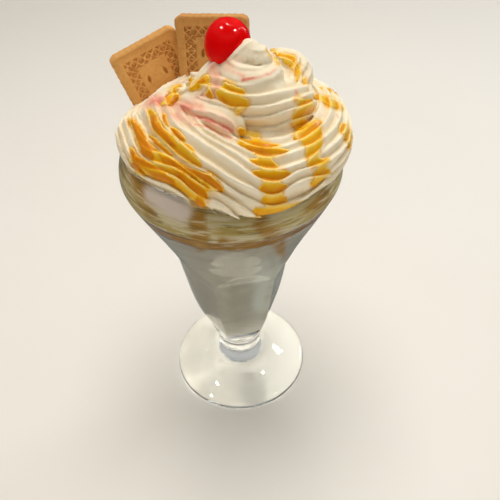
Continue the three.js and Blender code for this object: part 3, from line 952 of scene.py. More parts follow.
# the thin film that joins the runs over the ridges
FILM = [
    [(133, 122, 4), (140, 136, 6), (147, 149, 7), (158, 160, 7), (172, 168, 8), (188, 177, 8), (205, 184, 8), (214, 188, 5)],
    [(151, 112, 4), (154, 120, 6), (160, 131, 7), (172, 143, 8), (186, 154, 8), (196, 163, 5)],
    [(133, 156, 4), (143, 167, 6), (158, 173, 6), (172, 180, 6), (190, 186, 8), (200, 196, 8), (200, 208, 7), (200, 214, 5)],
    [(243, 131, 5), (256, 137, 5), (258, 148, 9), (268, 151, 10), (280, 151, 5)],
    [(264, 150, 9), (266, 163, 9), (270, 175, 10), (274, 188, 10), (275, 200, 10), (274, 211, 10), (288, 210, 8), (301, 206, 4)],
    [(298, 99, 4), (308, 106, 7), (301, 114, 8), (295, 122, 5), (304, 127, 8), (298, 136, 5), (311, 142, 8), (311, 152, 6)],
    [(316, 124, 6), (318, 140, 5), (312, 162, 6), (322, 165, 6), (322, 174, 6), (314, 184, 4)],
    [(220, 92, 6), (231, 99, 8), (243, 103, 7), (238, 111, 5)],
    [(226, 84, 4), (240, 92, 5)],
    [(270, 50, 4), (279, 57, 6), (292, 60, 6), (298, 72, 5)],
    [(206, 79, 5), (199, 84, 5), (192, 88, 4)],
    [(318, 96, 4), (330, 102, 5), (341, 108, 3)],
    [(344, 128, 5), (349, 138, 4), (351, 148, 3)],
    [(162, 104, 3), (174, 97, 6), (176, 90, 4)],
]
# cherry juice: [px, py, half width, strength]
JUICE = [
    [(146, 104, 5, 0.55), (156, 100, 6, 0.85), (168, 101, 6, 0.8), (180, 106, 8, 0.7), (190, 108, 8, 0.6), (200, 100, 9, 0.5), (200, 108, 7, 0.6)],
    [(164, 110, 6, 0.45), (172, 114, 7, 0.5), (182, 118, 7, 0.55), (190, 123, 5, 0.4)],
    [(190, 112, 3.0, 0.5), (195, 116, 3.0, 0.7), (209, 120, 3.0, 0.8), (220, 124.5, 3.0, 0.8), (232, 131, 3.0, 0.8)],
    [(195, 124.5, 1.4, 0.7), (208, 127, 1.4, 0.7), (220, 134, 1.4, 0.8), (231, 138, 1.6, 0.9)],
    [(196, 108, 5, 0.35), (212, 113, 5, 0.3), (224, 118, 4.5, 0.3), (233, 126, 4, 0.35), (214, 124, 4, 0.5), (228, 131, 4, 0.5)],
    [(213, 68, 5, 0.65), (216, 78, 5.5, 0.7), (216, 88, 5, 0.6), (214, 97, 4, 0.5)],
    [(232, 66, 5, 0.45), (226, 62, 4, 0.4), (240, 60, 4, 0.2)],
    [(243, 80, 2.2, 0.95), (250, 78.6, 1.6, 0.9), (260, 77, 1.5, 0.9), (268, 74, 1.6, 0.8), (276, 69.5, 1.6, 0.6)],
    [(226, 69, 4, 0.4), (236, 72, 3.5, 0.5), (243, 76, 3, 0.6)],
    [(296, 91, 2, 0.6), (297, 95, 2, 0.5)],
    [(337, 115.5, 1.6, 0.7), (338, 117, 1.4, 0.6)],
    [(323, 155, 1.6, 0.5), (324, 156, 1.4, 0.4)],
]


def dense(strokes, step=1.2):
    rows = []
    for s in strokes:
        s = np.array(s, float)
        for a, b in zip(s[:-1], s[1:]):
            n = max(1, int(np.linalg.norm((b - a)[:2]) / step))
            rows.append(a + (b - a) * (np.arange(n)[:, None] / n))
        rows.append(s[-1:])
    return np.concatenate(rows)


RES = 2  # cells per pixel


def painted(strokes, soft=False):
    """A picture of drawn strokes over the frame: pixels inside the edge, or a soft strength."""
    w, h = 260 * RES, 225 * RES
    out = np.full((h, w), 0.0 if soft else -6.0, F)
    for row in dense(strokes):
        x, y, hw = row[:3]
        reach = hw + 6
        i0, i1 = int((x - reach - 105) * RES), int((x + reach - 105) * RES) + 1
        j0, j1 = int((y - reach - 40) * RES), int((y + reach - 40) * RES) + 1
        i0, j0, i1, j1 = max(i0, 0), max(j0, 0), min(i1, w), min(j1, h)
        if i1 <= i0 or j1 <= j0:
            continue
        xx = np.arange(i0, i1) / RES + 105
        yy = np.arange(j0, j1) / RES + 40
        d = np.sqrt((xx[None] - x) ** 2 + (yy[:, None] - y) ** 2)
        v = row[3] * np.exp(-((d / hw) ** 2)) if soft else hw - d
        out[j0:j1, i0:i1] = np.maximum(out[j0:j1, i0:i1], v)
    return out


def look_up(image, px, py, outside):
    x, y = (px - 105) * RES, (py - 40) * RES
    h, w = image.shape
    ok = (x > 0) & (y > 0) & (x < w - 2) & (y < h - 2)
    x, y = np.clip(x, 0, w - 2.01), np.clip(y, 0, h - 2.01)
    i, j = x.astype(np.int32), y.astype(np.int32)
    fx, fy = x - i, y - j
    a = image[j, i] * (1 - fx) + image[j, i + 1] * fx
    b = image[j + 1, i] * (1 - fx) + image[j + 1, i + 1] * fx
    return np.where(ok, a * (1 - fy) + b * fy, outside)


class Front:
    """Which points lie on the side that the photograph shows."""

    def __init__(self, verts, cell=3.0):
        self.cell = cell
        p = verts.astype(F)
        px, py = project(p)
        d = (p - EYE.astype(F)) @ FWD.astype(F)
        n = int(500 / cell) + 1
        i = np.clip((px / cell).astype(int), 0, n - 1)
        j = np.clip((py / cell).astype(int), 0, n - 1)
        self.near = np.full((n, n), 1e9, F)
        np.minimum.at(self.near, (j, i), d)
        # each cell keeps the nearest depth of the points in it
        self.n = n

    def __call__(self, p, slack=7.0):
        px, py = project(p)
        d = (p - EYE.astype(F)) @ FWD.astype(F)
        i = np.clip((px / self.cell).astype(int), 0, self.n - 1)
        j = np.clip((py / self.cell).astype(int), 0, self.n - 1)
        return d < self.near[j, i] + slack


# ------------------------------------------------------------------ swirl
INNER_TAB = np.array([np.arange(120, 175, 0.25), inner_r(np.arange(120, 175, 0.25))])
OUTER_TAB = np.array([np.arange(120, 175, 0.25), outer_r(np.arange(120, 175, 0.25))])


def outside_glass(p, into=0.2):
    """Positive where the glass wall or the air outside it keeps the cream out."""
    x, y, z = p[:, 0], p[:, 1], p[:, 2]
    r = np.hypot(x, y)
    az = np.degrees(np.arctan2(x, -y))
    ri = np.interp(z, *INNER_TAB).astype(F) + into
    ro = np.interp(z, *OUTER_TAB).astype(F) - 0.12
    rim = RIM_Z - 0.1
    wall = np.minimum(np.minimum(r - ri, ro - r), rim - z)
    # cream hangs over the rim at the front right only
    low = 158.2 + 2.2 * noise(p, 9.0, 41) + 0.7 * noise(p, 3.0, 42)
    low = low + 7.4 * (1 - smoothstep(-14, 2, az)) + 7.4 * smoothstep(78, 112, az)
    low = np.minimum(low, rim + 0.4)
    hang = np.minimum(r - 46.6, low - z)
    return np.maximum(wall, hang)


def swirl_field(p):
    d = mound(p)
    d = smax(d, outside_glass(p), 0.25)
    return np.maximum(d, 150.0 - p[:, 2]),


def make_swirl():
    h = 0.62
    f, lo, need, at, vals = sample(swirl_field, (-54.5, -54.5, 149), (58, 56, 217), h, 1.0)
    v, q = surface_nets(f, lo, h)
    v, q = biggest(v, q)
    ob = thinned(make("cream_swirl", v, q), 192000)
    co = np.zeros(len(ob.data.vertices) * 3)
    ob.data.vertices.foreach_get("co", co)
    return ob, co.reshape(-1, 3) * 1000


def thinned(ob, most):
    """Joins faces where the surface is flattest until few enough triangles are left."""
    count = sum(len(p.vertices) - 2 for p in ob.data.polygons)
    if count <= most:
        return ob
    mod = ob.modifiers.new("thin", "DECIMATE")
    mod.ratio = most / count
    whole = ob.evaluated_get(bpy.context.evaluated_depsgraph_get())
    less = bpy.data.meshes.new_from_object(whole)
    dense_mesh = ob.data
    ob.modifiers.clear()
    ob.data = less
    bpy.data.meshes.remove(dense_mesh)
    return ob


def biggest(v, q):
    """Only the largest connected part of a mesh."""
    label = np.arange(len(v))
    e = np.concatenate([q[:, [0, 1]], q[:, [1, 2]], q[:, [2, 3]]])
    for _ in range(200):
        m = np.minimum(label[e[:, 0]], label[e[:, 1]])
        new = label.copy()
        np.minimum.at(new, e[:, 0], m)
        np.minimum.at(new, e[:, 1], m)
        new = new[new]
        new = new[new]
        if (new == label).all():
            break
        label = new
    ids, count = np.unique(label, return_counts=True)
    keep = label == ids[count.argmax()]
    v2, q2, _ = clean(v, q, keep)
    return v2, q2


def parts_over(v, q, least):
    """Drops connected parts with fewer than least vertices."""
    label = np.arange(len(v))
    e = np.concatenate([q[:, [0, 1]], q[:, [1, 2]], q[:, [2, 3]]])
    for _ in range(200):
        m = np.minimum(label[e[:, 0]], label[e[:, 1]])
        new = label.copy()
        np.minimum.at(new, e[:, 0], m)
        np.minimum.at(new, e[:, 1], m)
        new = new[new]
        new = new[new]
        if (new == label).all():
            break
        label = new
    ids, inv, count = np.unique(label, return_inverse=True, return_counts=True)
    keep = (count >= least)[inv]
    return clean(v, q, keep)


swirl_ob, swirl_v = make_swirl()
front = Front(swirl_v)
caramel_image = painted(CARAMEL)
film_image = painted(CARAMEL + FILM)
juice_image = painted(JUICE, soft=True)

# drizzle on the side that the photograph doesn't show: azimuth, height, half width (mm)
BACK = [
    [(128, 178, 1.6), (134, 170, 2.6), (138, 162, 2.2)],
    [(150, 182, 1.8), (158, 176, 2.8), (168, 172, 2.4), (176, 166, 2.0)],
    [(-118, 168, 1.6), (-126, 172, 2.4), (-138, 174, 2.6), (-146, 168, 1.8)],
    [(104, 180, 1.6), (110, 172, 2.2), (112, 164, 2.0)],
    [(-160, 178, 1.6), (-166, 170, 2.4), (-170, 163, 1.8)],
]


def back_mask(p):
    az = np.degrees(np.arctan2(p[:, 0], -p[:, 1]))
    r = np.hypot(p[:, 0], p[:, 1])
    best = np.full(len(p), -9.0, F)
    for s in BACK:
        for a, b in zip(s[:-1], s[1:]):
            ax = ((az - a[0] + 180) % 360 - 180) * math.pi / 180 * np.maximum(r, 20)
            az_ = p[:, 2] - a[1]
            bx = (b[0] - a[0]) * math.pi / 180 * np.maximum(r, 20)
            bz = b[1] - a[1]
            t = np.clip((ax * bx + az_ * bz) / (bx * bx + bz * bz), 0, 1)
            d = np.hypot(ax - t * bx, az_ - t * bz)
            best = np.maximum(best, a[2] + (b[2] - a[2]) * t - d)
    return best * 2.5


def caramel_field(p):
    px, py = project(p)
    cream = mound(p, fine=False)
    base = mound(p, 0.7, fine=False)
    # it runs along the grooves and draws back from the crests
    sunk = np.clip((cream - base) / 0.46, -0.5, 1.2) - 0.45
    m = look_up(caramel_image, px, py, -6.0)
    # at the left it lies in deep puddles that hide the ridges
    deep = 0.95 * smoothstep(0.5, 3.5, m) * (1 - smoothstep(212, 240, px)) * front(p)
    m = np.where(front(p, 11.0), m, -6.0)
    m = np.maximum(m, back_mask(p))
    m = m + 0.8 + 3.4 * sunk * (1 - 0.8 * deep) + 1.2 * noise(p, 2.6, 61) + 0.8 * noise(p, 1.3, 62)
    pool = deep * (1 - 0.55 * smoothstep(156, 172, px + 0.5 * (py - 130)))
    # and in one more under the top tier
    pool = np.maximum(pool, 0.5 * smoothstep(0.5, 3.5, m) * front(p) * np.exp(-(((px - 262) / 17) ** 2) - ((py - 148) / 6) ** 2))
    t = -1.1 + (1.62 + 0.85 * pool) * np.sqrt(np.clip(m / 2.6, 0, 1)) - 0.5 * np.clip(-m, 0, 4)
    # the thin coat between the runs
    thin = np.where(front(p), look_up(film_image, px, py, -6.0), -6.0)
    thin = thin + 0.5 + 1.6 * sunk + 1.1 * noise(p, 3.4, 65) + 0.9 * noise(p, 1.6, 66)
    t = np.maximum(t, -1.1 + 1.54 * np.sqrt(np.clip(thin / 2.2, 0, 1)) - 0.5 * np.clip(-thin, 0, 4))
    t = t + 0.07 * noise(p, 5.0, 63)
    base = base * (1 - deep) + mound(p, 0.28, fine=False) * deep
    d = base - t
    d = np.maximum(d, -(cream + 1.1))
    d = smax(d, outside_glass(p, 0.1), 0.2)
    d = np.maximum(d, 151.0 - p[:, 2])
    return d.astype(F), cream.astype(F)


def make_caramel():
    h = 0.52
    # worked out only where a stroke is near
    def coarse(p):
        return caramel_field(p)
    f, lo, need, at, vals = sample(coarse, (-54.5, -54.5, 150), (58, 56, 205), h, 1.3)
    v, q = surface_nets(f, lo, h)
    v, q, _ = parts_over(v, q, 60)
    ob = make("caramel_drizzle", v, q)
    thick = mound(v.astype(F), fine=False)
    attribute(ob, "thick", thick)
    return ob, v, q


def smoothed(v, q, values, times):
    e = np.concatenate([q[:, [0, 1]], q[:, [1, 2]], q[:, [2, 3]], q[:, [3, 0]]])
    for _ in range(times):
        s = np.zeros(len(v))
        c = np.zeros(len(v))
        np.add.at(s, e[:, 0], values[e[:, 1]])
        np.add.at(c, e[:, 0], 1)
        values = 0.5 * values + 0.5 * s / np.maximum(c, 1)
    return values


px, py = project(swirl_v.astype(F))
juice = np.where(front(swirl_v.astype(F)), look_up(juice_image, px, py, 0.0), 0.0)
attribute(swirl_ob, "juice", np.clip(juice, 0, 1))
film = np.where(front(swirl_v.astype(F)), look_up(film_image, px, py, -6.0), -6.0)
film = np.maximum(film, back_mask(swirl_v.astype(F))) + 1.6 * noise(swirl_v.astype(F), 3.0, 64)
attribute(swirl_ob, "film", smoothstep(-4.0, 2.0, film))
# how deep each point lies below the smooth mound, in the grooves between the ridges; the cream is painted darker and
# yellower there as painted shade
hollow = -mound(swirl_v.astype(F), 0.0, fine=False)
attribute(swirl_ob, "groove", np.clip(hollow / 1.3, 0, 1))
caramel_ob, caramel_v, caramel_q = make_caramel()

# ------------------------------------------------------------------ fill the glass
SEG = 240


def flat(z):
    return lambda az: np.full(len(az), float(z))


def bowl_top(az):
    # where the cream leaves the wall under the rim
    a = np.clip(np.cos(np.radians(az + 50)), 0, 1) ** 0.7
    return 158.4 + 5.0 * a + wavy(az, 150, 71, 9.0) * 0.8 + wavy(az, 151, 72, 3.5) * 0.4


def sauce_top(az):
    return 145.8 + wavy(az, 140, 73, 12.0) * 1.0 + wavy(az, 140, 74, 4.0) * 0.5


def sauce_low(az):
    return 139.2 + wavy(az, 133, 75, 10.0) * 0.9 + wavy(az, 133, 76, 3.5) * 0.5


ice_ob = filling("ice_cream_fill", flat(38.4), sauce_low, 1.6, SEG)
sauce_ob = filling("caramel_ring", lambda a: sauce_low(a) - 0.05, sauce_top, 1.0, SEG)
bowl_ob = filling("cream_in_bowl", lambda a: sauce_top(a) - 0.05, bowl_top, 1.0, SEG)

# ------------------------------------------------------------------ materials
def srgb(r, g, b):
    def one(c):
        c /= 255
        return c / 12.92 if c <= 0.04045 else ((c + 0.055) / 1.055) ** 2.4

    return (one(r), one(g), one(b), 1.0)


class Nodes:
    def __init__(self, name):
        self.mat = bpy.data.materials.new(name)
        self.mat.use_nodes = True
        self.t = self.mat.node_tree
        self.t.nodes.clear()
        self.out = self.t.nodes.new("ShaderNodeOutputMaterial")

    def new(self, kind, **kw):
        n = self.t.nodes.new(kind)
        for k, v in kw.items():
            setattr(n, k, v)
        return n

    def link(self, a, b):
        self.t.links.new(a, b)

    def coords(self):
        return self.new("ShaderNodeTexCoord").outputs["Object"]

    def stretched(self, x, y, z):
        n = self.new("ShaderNodeMapping")
        n.inputs["Scale"].default_value = (x, y, z)
        self.link(self.coords(), n.inputs["Vector"])
        return n.outputs["Vector"]

    def noise(self, scale, detail=4.0, rough=0.55, distortion=0.0, at=None):
        n = self.new("ShaderNodeTexNoise")
        n.inputs["Scale"].default_value = scale
        n.inputs["Detail"].default_value = detail
        n.inputs["Roughness"].default_value = rough
        n.inputs["Distortion"].default_value = distortion
        self.link(at or self.coords(), n.inputs["Vector"])
        return n.outputs["Fac"]

    def voronoi(self, scale, at=None):
        n = self.new("ShaderNodeTexVoronoi")
        n.inputs["Scale"].default_value = scale
        self.link(at or self.coords(), n.inputs["Vector"])
        return n.outputs["Distance"]

    def ramp(self, fac, stops, ease="LINEAR"):
        n = self.new("ShaderNodeValToRGB")
        n.color_ramp.interpolation = ease
        e = n.color_ramp.elements
        while len(e) < len(stops):
            e.new(0.5)
        for el, (p, c) in zip(e, stops):
            el.position = p
            el.color = c if len(c) == 4 else (*c, 1)
        self.link(fac, n.inputs["Fac"])
        return n.outputs["Color"]

    def remap(self, fac, a, b, c, d):
        n = self.new("ShaderNodeMapRange")
        for key, v in zip(("From Min", "From Max", "To Min", "To Max"), (a, b, c, d)):
            n.inputs[key].default_value = v
        self.link(fac, n.inputs["Value"])
        return n.outputs["Result"]

    def mix(self, fac, a, b, mode="MIX"):
        n = self.new("ShaderNodeMix", data_type="RGBA", blend_type=mode)
        for sock, v in ((n.inputs[0], fac), (n.inputs[6], a), (n.inputs[7], b)):
            if isinstance(v, (int, float)):
                sock.default_value = v
            elif isinstance(v, tuple):
                sock.default_value = v
            else:
                self.link(v, sock)
        return n.outputs[2]

    def math(self, op, a, b=None):
        n = self.new("ShaderNodeMath", operation=op)
        for sock, v in zip(n.inputs, (a, b)):
            if v is None:
                continue
            if isinstance(v, (int, float)):
                sock.default_value = v
            else:
                self.link(v, sock)
        return n.outputs[0]

    def attr(self, name):
        n = self.new("ShaderNodeAttribute", attribute_name=name)
        return n.outputs["Fac"]

    def bump(self, height, distance, strength=1.0, after=None):
        n = self.new("ShaderNodeBump")
        n.inputs["Strength"].default_value = strength
        n.inputs["Distance"].default_value = distance
        self.link(height, n.inputs["Height"])
        if after is not None:
            self.link(after, n.inputs["Normal"])
        return n.outputs["Normal"]

    def principled(self, **kw):
        n = self.new("ShaderNodeBsdfPrincipled")
        for k, v in kw.items():
            sock = n.inputs[k.replace("_", " ")]
            if isinstance(v, (int, float, tuple)):
                sock.default_value = v
            else:
                self.link(v, sock)
        return n

    def done(self, shader):
        self.link(shader, self.out.inputs["Surface"])
        return self.mat


def cream_material():
    m = Nodes("whipped cream")
    big = m.noise(38, 3)
    fine = m.noise(520, 4, 0.6)
    col = m.ramp(big, [(0.3, srgb(243, 230, 203)), (0.55, srgb(248, 237, 214)), (0.75, srgb(250, 241, 222))])
    # painted shade: darker, yellower cream deep in the grooves between the ridges
    col = m.mix(m.math("MULTIPLY", m.attr("groove"), 0.6), col, srgb(232, 210, 166))
    veil = m.math("MULTIPLY", m.attr("film"), m.remap(m.noise(150, 4, 0.65), 0.32, 0.58, 0.35, 1.0))
    col = m.mix(veil, col, m.ramp(veil, [(0.0, srgb(246, 214, 150)), (0.5, srgb(240, 194, 100)), (1.0, srgb(232, 172, 52))]))
    blot = m.remap(m.noise(160, 3, 0.6), 0.35, 0.62, 0.8, 1.5)
    pink = m.math("MULTIPLY", m.attr("juice"), blot)
    pink = m.math("MINIMUM", pink, 1.0)
    col = m.mix(pink, col, m.ramp(pink, [(0.0, srgb(246, 200, 168)), (0.5, srgb(240, 168, 138)), (1.0, srgb(228, 138, 118))]))
    n = m.bump(fine, 0.0003, 0.35)
    n = m.bump(m.noise(1500, 3, 0.6), 0.00012, 0.35, n)
    s = m.principled(
        Base_Color=col,
        Roughness=m.remap(m.noise(90, 3), 0.3, 0.7, 0.42, 0.6),
        Normal=n,
        Subsurface_Weight=0.2,
        Subsurface_Radius=(1.0, 0.72, 0.42),
        Subsurface_Scale=0.0011,
        IOR=1.4,
    )
    s.inputs["Specular IOR Level"].default_value = 0.35
    return m.done(s.outputs[0])


def caramel_material(name="caramel", use_thick=True):
    m = Nodes(name)
    wob = m.noise(110, 3)
    if use_thick:
        t = m.math("ADD", m.remap(m.attr("thick"), 0.22, 1.15, 0.0, 1.0), m.remap(wob, 0.3, 0.7, -0.08, 0.08))
    else:
        t = m.remap(m.noise(60, 4, 0.6, 0.6), 0.32, 0.68, 0.15, 1.0)
    col = m.ramp(
        t,
        [
            (0.0, srgb(250, 220, 138)),
            (0.16, srgb(248, 208, 88)),
            (0.4, srgb(242, 184, 16)),
            (0.68, srgb(230, 158, 0)),
            (1.0, srgb(218, 132, 0)),
        ],
    )
    s = m.principled(
        Base_Color=col,
        Roughness=m.remap(m.noise(70, 2), 0.3, 0.7, 0.2, 0.32),
        Normal=m.bump(m.noise(240, 3), 0.0002, 0.25),
        Subsurface_Weight=0.12,
        Subsurface_Radius=(1.0, 0.5, 0.1),
        Subsurface_Scale=0.0012,
        IOR=1.42,
        Coat_Weight=0.2,
        Coat_Roughness=0.05,
    )
    s.inputs["Specular IOR Level"].default_value = 0.2
    return m.done(s.outputs[0])


def food_in_glass(name, stops, streak, lines):
    m = Nodes(name)
    a = m.noise(34, 5, 0.62, 0.7, m.stretched(1, 1, streak))
    col = m.ramp(a, stops)
    runs = m.math("MULTIPLY", m.attr("amber"), m.remap(m.noise(60, 4, 0.6, 0.5, m.stretched(1, 1, streak)), 0.36, 0.52, 0.35, 1.0))
    col = m.mix(runs, col, m.ramp(m.noise(90, 3), [(0.3, srgb(176, 128, 36)), (0.7, srgb(200, 152, 56))]))
    fine = m.noise(75, 3, 0.5, 0.35, m.stretched(1, 1, 9))
    col = m.mix(m.remap(fine, 0.43, 0.37, 0.0, lines), col, srgb(128, 104, 44))
    col = m.mix(m.remap(fine, 0.57, 0.63, 0.0, lines), col, srgb(246, 238, 212))
    col = m.mix(m.attr("mauve"), col, srgb(250, 236, 228))
    # painted highlight: bluish-white sheen of the glass's facets and rim, painted on the food
    col = m.mix(m.math("MULTIPLY", m.attr("pale"), 0.6), col, srgb(228, 234, 226))
    s = m.principled(
        Base_Color=col,
        Roughness=m.remap(m.noise(100, 3), 0.3, 0.7, 0.4, 0.6),
        Normal=m.bump(m.noise(300, 4), 0.0003, 0.4),
        IOR=1.4,
    )
    return m.done(s.outputs[0])


def cherry_material():
    m = Nodes("cherry")
    n = m.noise(140, 4, 0.6)
    col = m.ramp(n, [(0.3, srgb(222, 0, 1)), (0.6, srgb(236, 0, 1)), (0.8, srgb(244, 2, 3))])
    s = m.principled(
        Base_Color=col,
        Roughness=m.remap(m.noise(60, 3), 0.3, 0.7, 0.1, 0.2),
        Normal=m.bump(m.noise(420, 3), 0.00015, 0.3),
        Subsurface_Weight=0.1,
        Subsurface_Radius=(1.0, 0.12, 0.08),
        Subsurface_Scale=0.002,
        IOR=1.4,
        Coat_Weight=0.14,
        Coat_Roughness=0.04,
    )
    s.inputs["Specular IOR Level"].default_value = 0.14
    return m.done(s.outputs[0])


def biscuit_material(name, painted_light):
    m = Nodes(name)
    big = m.noise(60, 4, 0.6)
    speck = m.noise(900, 3, 0.7)
    # the whole colour is scaled up or down: painted light and shade that makes one biscuit lighter than the other
    col = m.ramp(big, [(0.3, srgb(226 * painted_light, 171 * painted_light, 98 * painted_light)), (0.55, srgb(233 * painted_light, 180 * painted_light, 107 * painted_light)), (0.75, srgb(241 * painted_light, 191 * painted_light, 121 * painted_light))])
    # darker and browner deeper in from the front face, as painted shade in the pressed hollows and docker holes;
    # browner at the rim
    col = m.mix(m.math("MULTIPLY", m.attr("height"), 0.3), col, srgb(196, 138, 74))
    col = m.mix(m.math("MULTIPLY", m.attr("rim"), 0.45), col, srgb(190, 130, 68))
    col = m.mix(m.remap(speck, 0.55, 0.75, 0.0, 0.35), col, srgb(150, 92, 38))
    n = m.bump(speck, 0.0004, 0.5)
    n = m.bump(m.noise(2600, 2, 0.6), 0.0002, 0.4, n)
    s = m.principled(Base_Color=col, Roughness=m.remap(big, 0.3, 0.7, 0.75, 0.92), Normal=n, IOR=1.4)
    s.inputs["Specular IOR Level"].default_value = 0.25
    return m.done(s.outputs[0])


def glass_material():
    m = Nodes("pressed glass")
    n = m.bump(m.noise(62, 3), 0.0007, 0.3)
    s = m.principled(
        Base_Color=m.ramp(m.noise(20, 2), [(0.3, (0.95, 0.975, 0.97)), (0.7, (0.965, 0.985, 0.98))]),
        Roughness=0.015,
        Normal=n,
        IOR=1.5,
        Transmission_Weight=1.0,
    )
    clear = m.new("ShaderNodeBsdfTransparent")
    clear.inputs[0].default_value = (0.97, 0.975, 0.965, 1)
    path = m.new("ShaderNodeLightPath")
    mix = m.new("ShaderNodeMixShader")
    m.link(path.outputs["Is Shadow Ray"], mix.inputs[0])
    m.link(s.outputs[0], mix.inputs[1])
    m.link(clear.outputs[0], mix.inputs[2])
    return m.done(mix.outputs[0])


def put(ob, mat):
    ob.data.materials.clear()
    ob.data.materials.append(mat)


# colours of the food seen through the glass, and painted highlights of the glass on it
AMBER = [
    [(198, 214, 8), (198, 224, 9), (200, 234, 9), (203, 242, 6)],
    [(262, 224, 8), (270, 232, 8), (278, 240, 6), (279, 250, 4), (279, 254, 3)],
    [(136, 176, 4), (140, 184, 6), (147, 200, 4.5), (156, 214, 3)],
    [(306, 209, 3), (314, 203, 4), (322, 194, 5)],
    [(222, 238, 4), (240, 242, 4), (256, 241, 4)],
]
MAUVE = [[(158, 192, 12), (170, 200, 14), (182, 210, 10)]]
# painted highlights: bluish-white streaks on the food behind the cone's facets and the bowl's rim, standing in for the
# glass's sheen
PAINTED_SHEEN = [[(276, 256, 4), (273, 280, 4.5), (268, 302, 4)], [(264, 262, 7), (262, 282, 7), (258, 302, 6)], [(152, 170, 4), (164, 178, 5), (176, 184, 4)]]


def tint(ob, name, strokes, soft=3.0):
    co = np.zeros(len(ob.data.vertices) * 3)
    ob.data.vertices.foreach_get("co", co)
    p = (co.reshape(-1, 3) * 1000).astype(F)
    px, py = project(p)
    n = p[:, :2] / (np.linalg.norm(p[:, :2], axis=1)[:, None] + 1e-6)
    facing = (n * (EYE[:2] - p[:, :2])).sum(1) > 0
    best = np.full(len(p), -9.0, F)
    for x, y, hw in dense(strokes, 2.0):
        best = np.maximum(best, hw - np.hypot(px - x, py - y))
    best = best + 2.0 * noise(p, 4.0, 81)
    attribute(ob, name, np.where(facing, smoothstep(-soft, soft, best), 0.0))


for ob in (ice_ob, sauce_ob, bowl_ob):
    tint(ob, "amber", AMBER)
    tint(ob, "mauve", MAUVE, 5.0)
    tint(ob, "pale", PAINTED_SHEEN, 5.0)

glass_ob = make_glass()
cherry_ob = make_cherry()
right_ob = make_biscuit("biscuit_right_body", (-5.1, 18.9, 186), (-10.5, -2.6, -12.6), 91)
left_ob = make_biscuit("biscuit_left_body", (-28.9, 23.6, 176.2), (-8.0, -16.5, 24.0), 95)

put(glass_ob, glass_material())
put(swirl_ob, cream_material())
put(caramel_ob, caramel_material())
put(sauce_ob, food_in_glass("caramel layer", [(0.3, srgb(150, 100, 0)), (0.5, srgb(170, 118, 4)), (0.7, srgb(192, 142, 30))], 5, 0.35))
# the ice cream's colour is darkened to a grey as painted shade for the dim light inside the cone
put(ice_ob, food_in_glass("ice cream", [(0.3, srgb(190, 185, 169)), (0.55, srgb(204, 200, 185)), (0.75, srgb(215, 212, 199))], 1.5, 0.0))
put(bowl_ob, food_in_glass("cream against the glass", [(0.3, srgb(180, 150, 58)), (0.44, srgb(206, 183, 110)), (0.56, srgb(224, 210, 160)), (0.72, srgb(240, 232, 206))], 7, 0.6))
put(cherry_ob, cherry_material())
# one biscuit colour in two copies: the left painted lighter and the right darker, as painted light and shade
put(right_ob, biscuit_material("biscuit right", 0.94))
put(left_ob, biscuit_material("biscuit left", 1.045))

piece(glass_ob, "glass", "glass")
piece(ice_ob, "ice_cream", "ice_cream")
piece(sauce_ob, "caramel", "sauce_layer")
piece(swirl_ob, "cream", "whipped_cream")
piece(bowl_ob, "cream")
piece(caramel_ob, "caramel")
piece(cherry_ob, "cherry", "cherry")
piece(right_ob, "biscuit", "biscuit_right")
piece(left_ob, "biscuit", "biscuit_left")

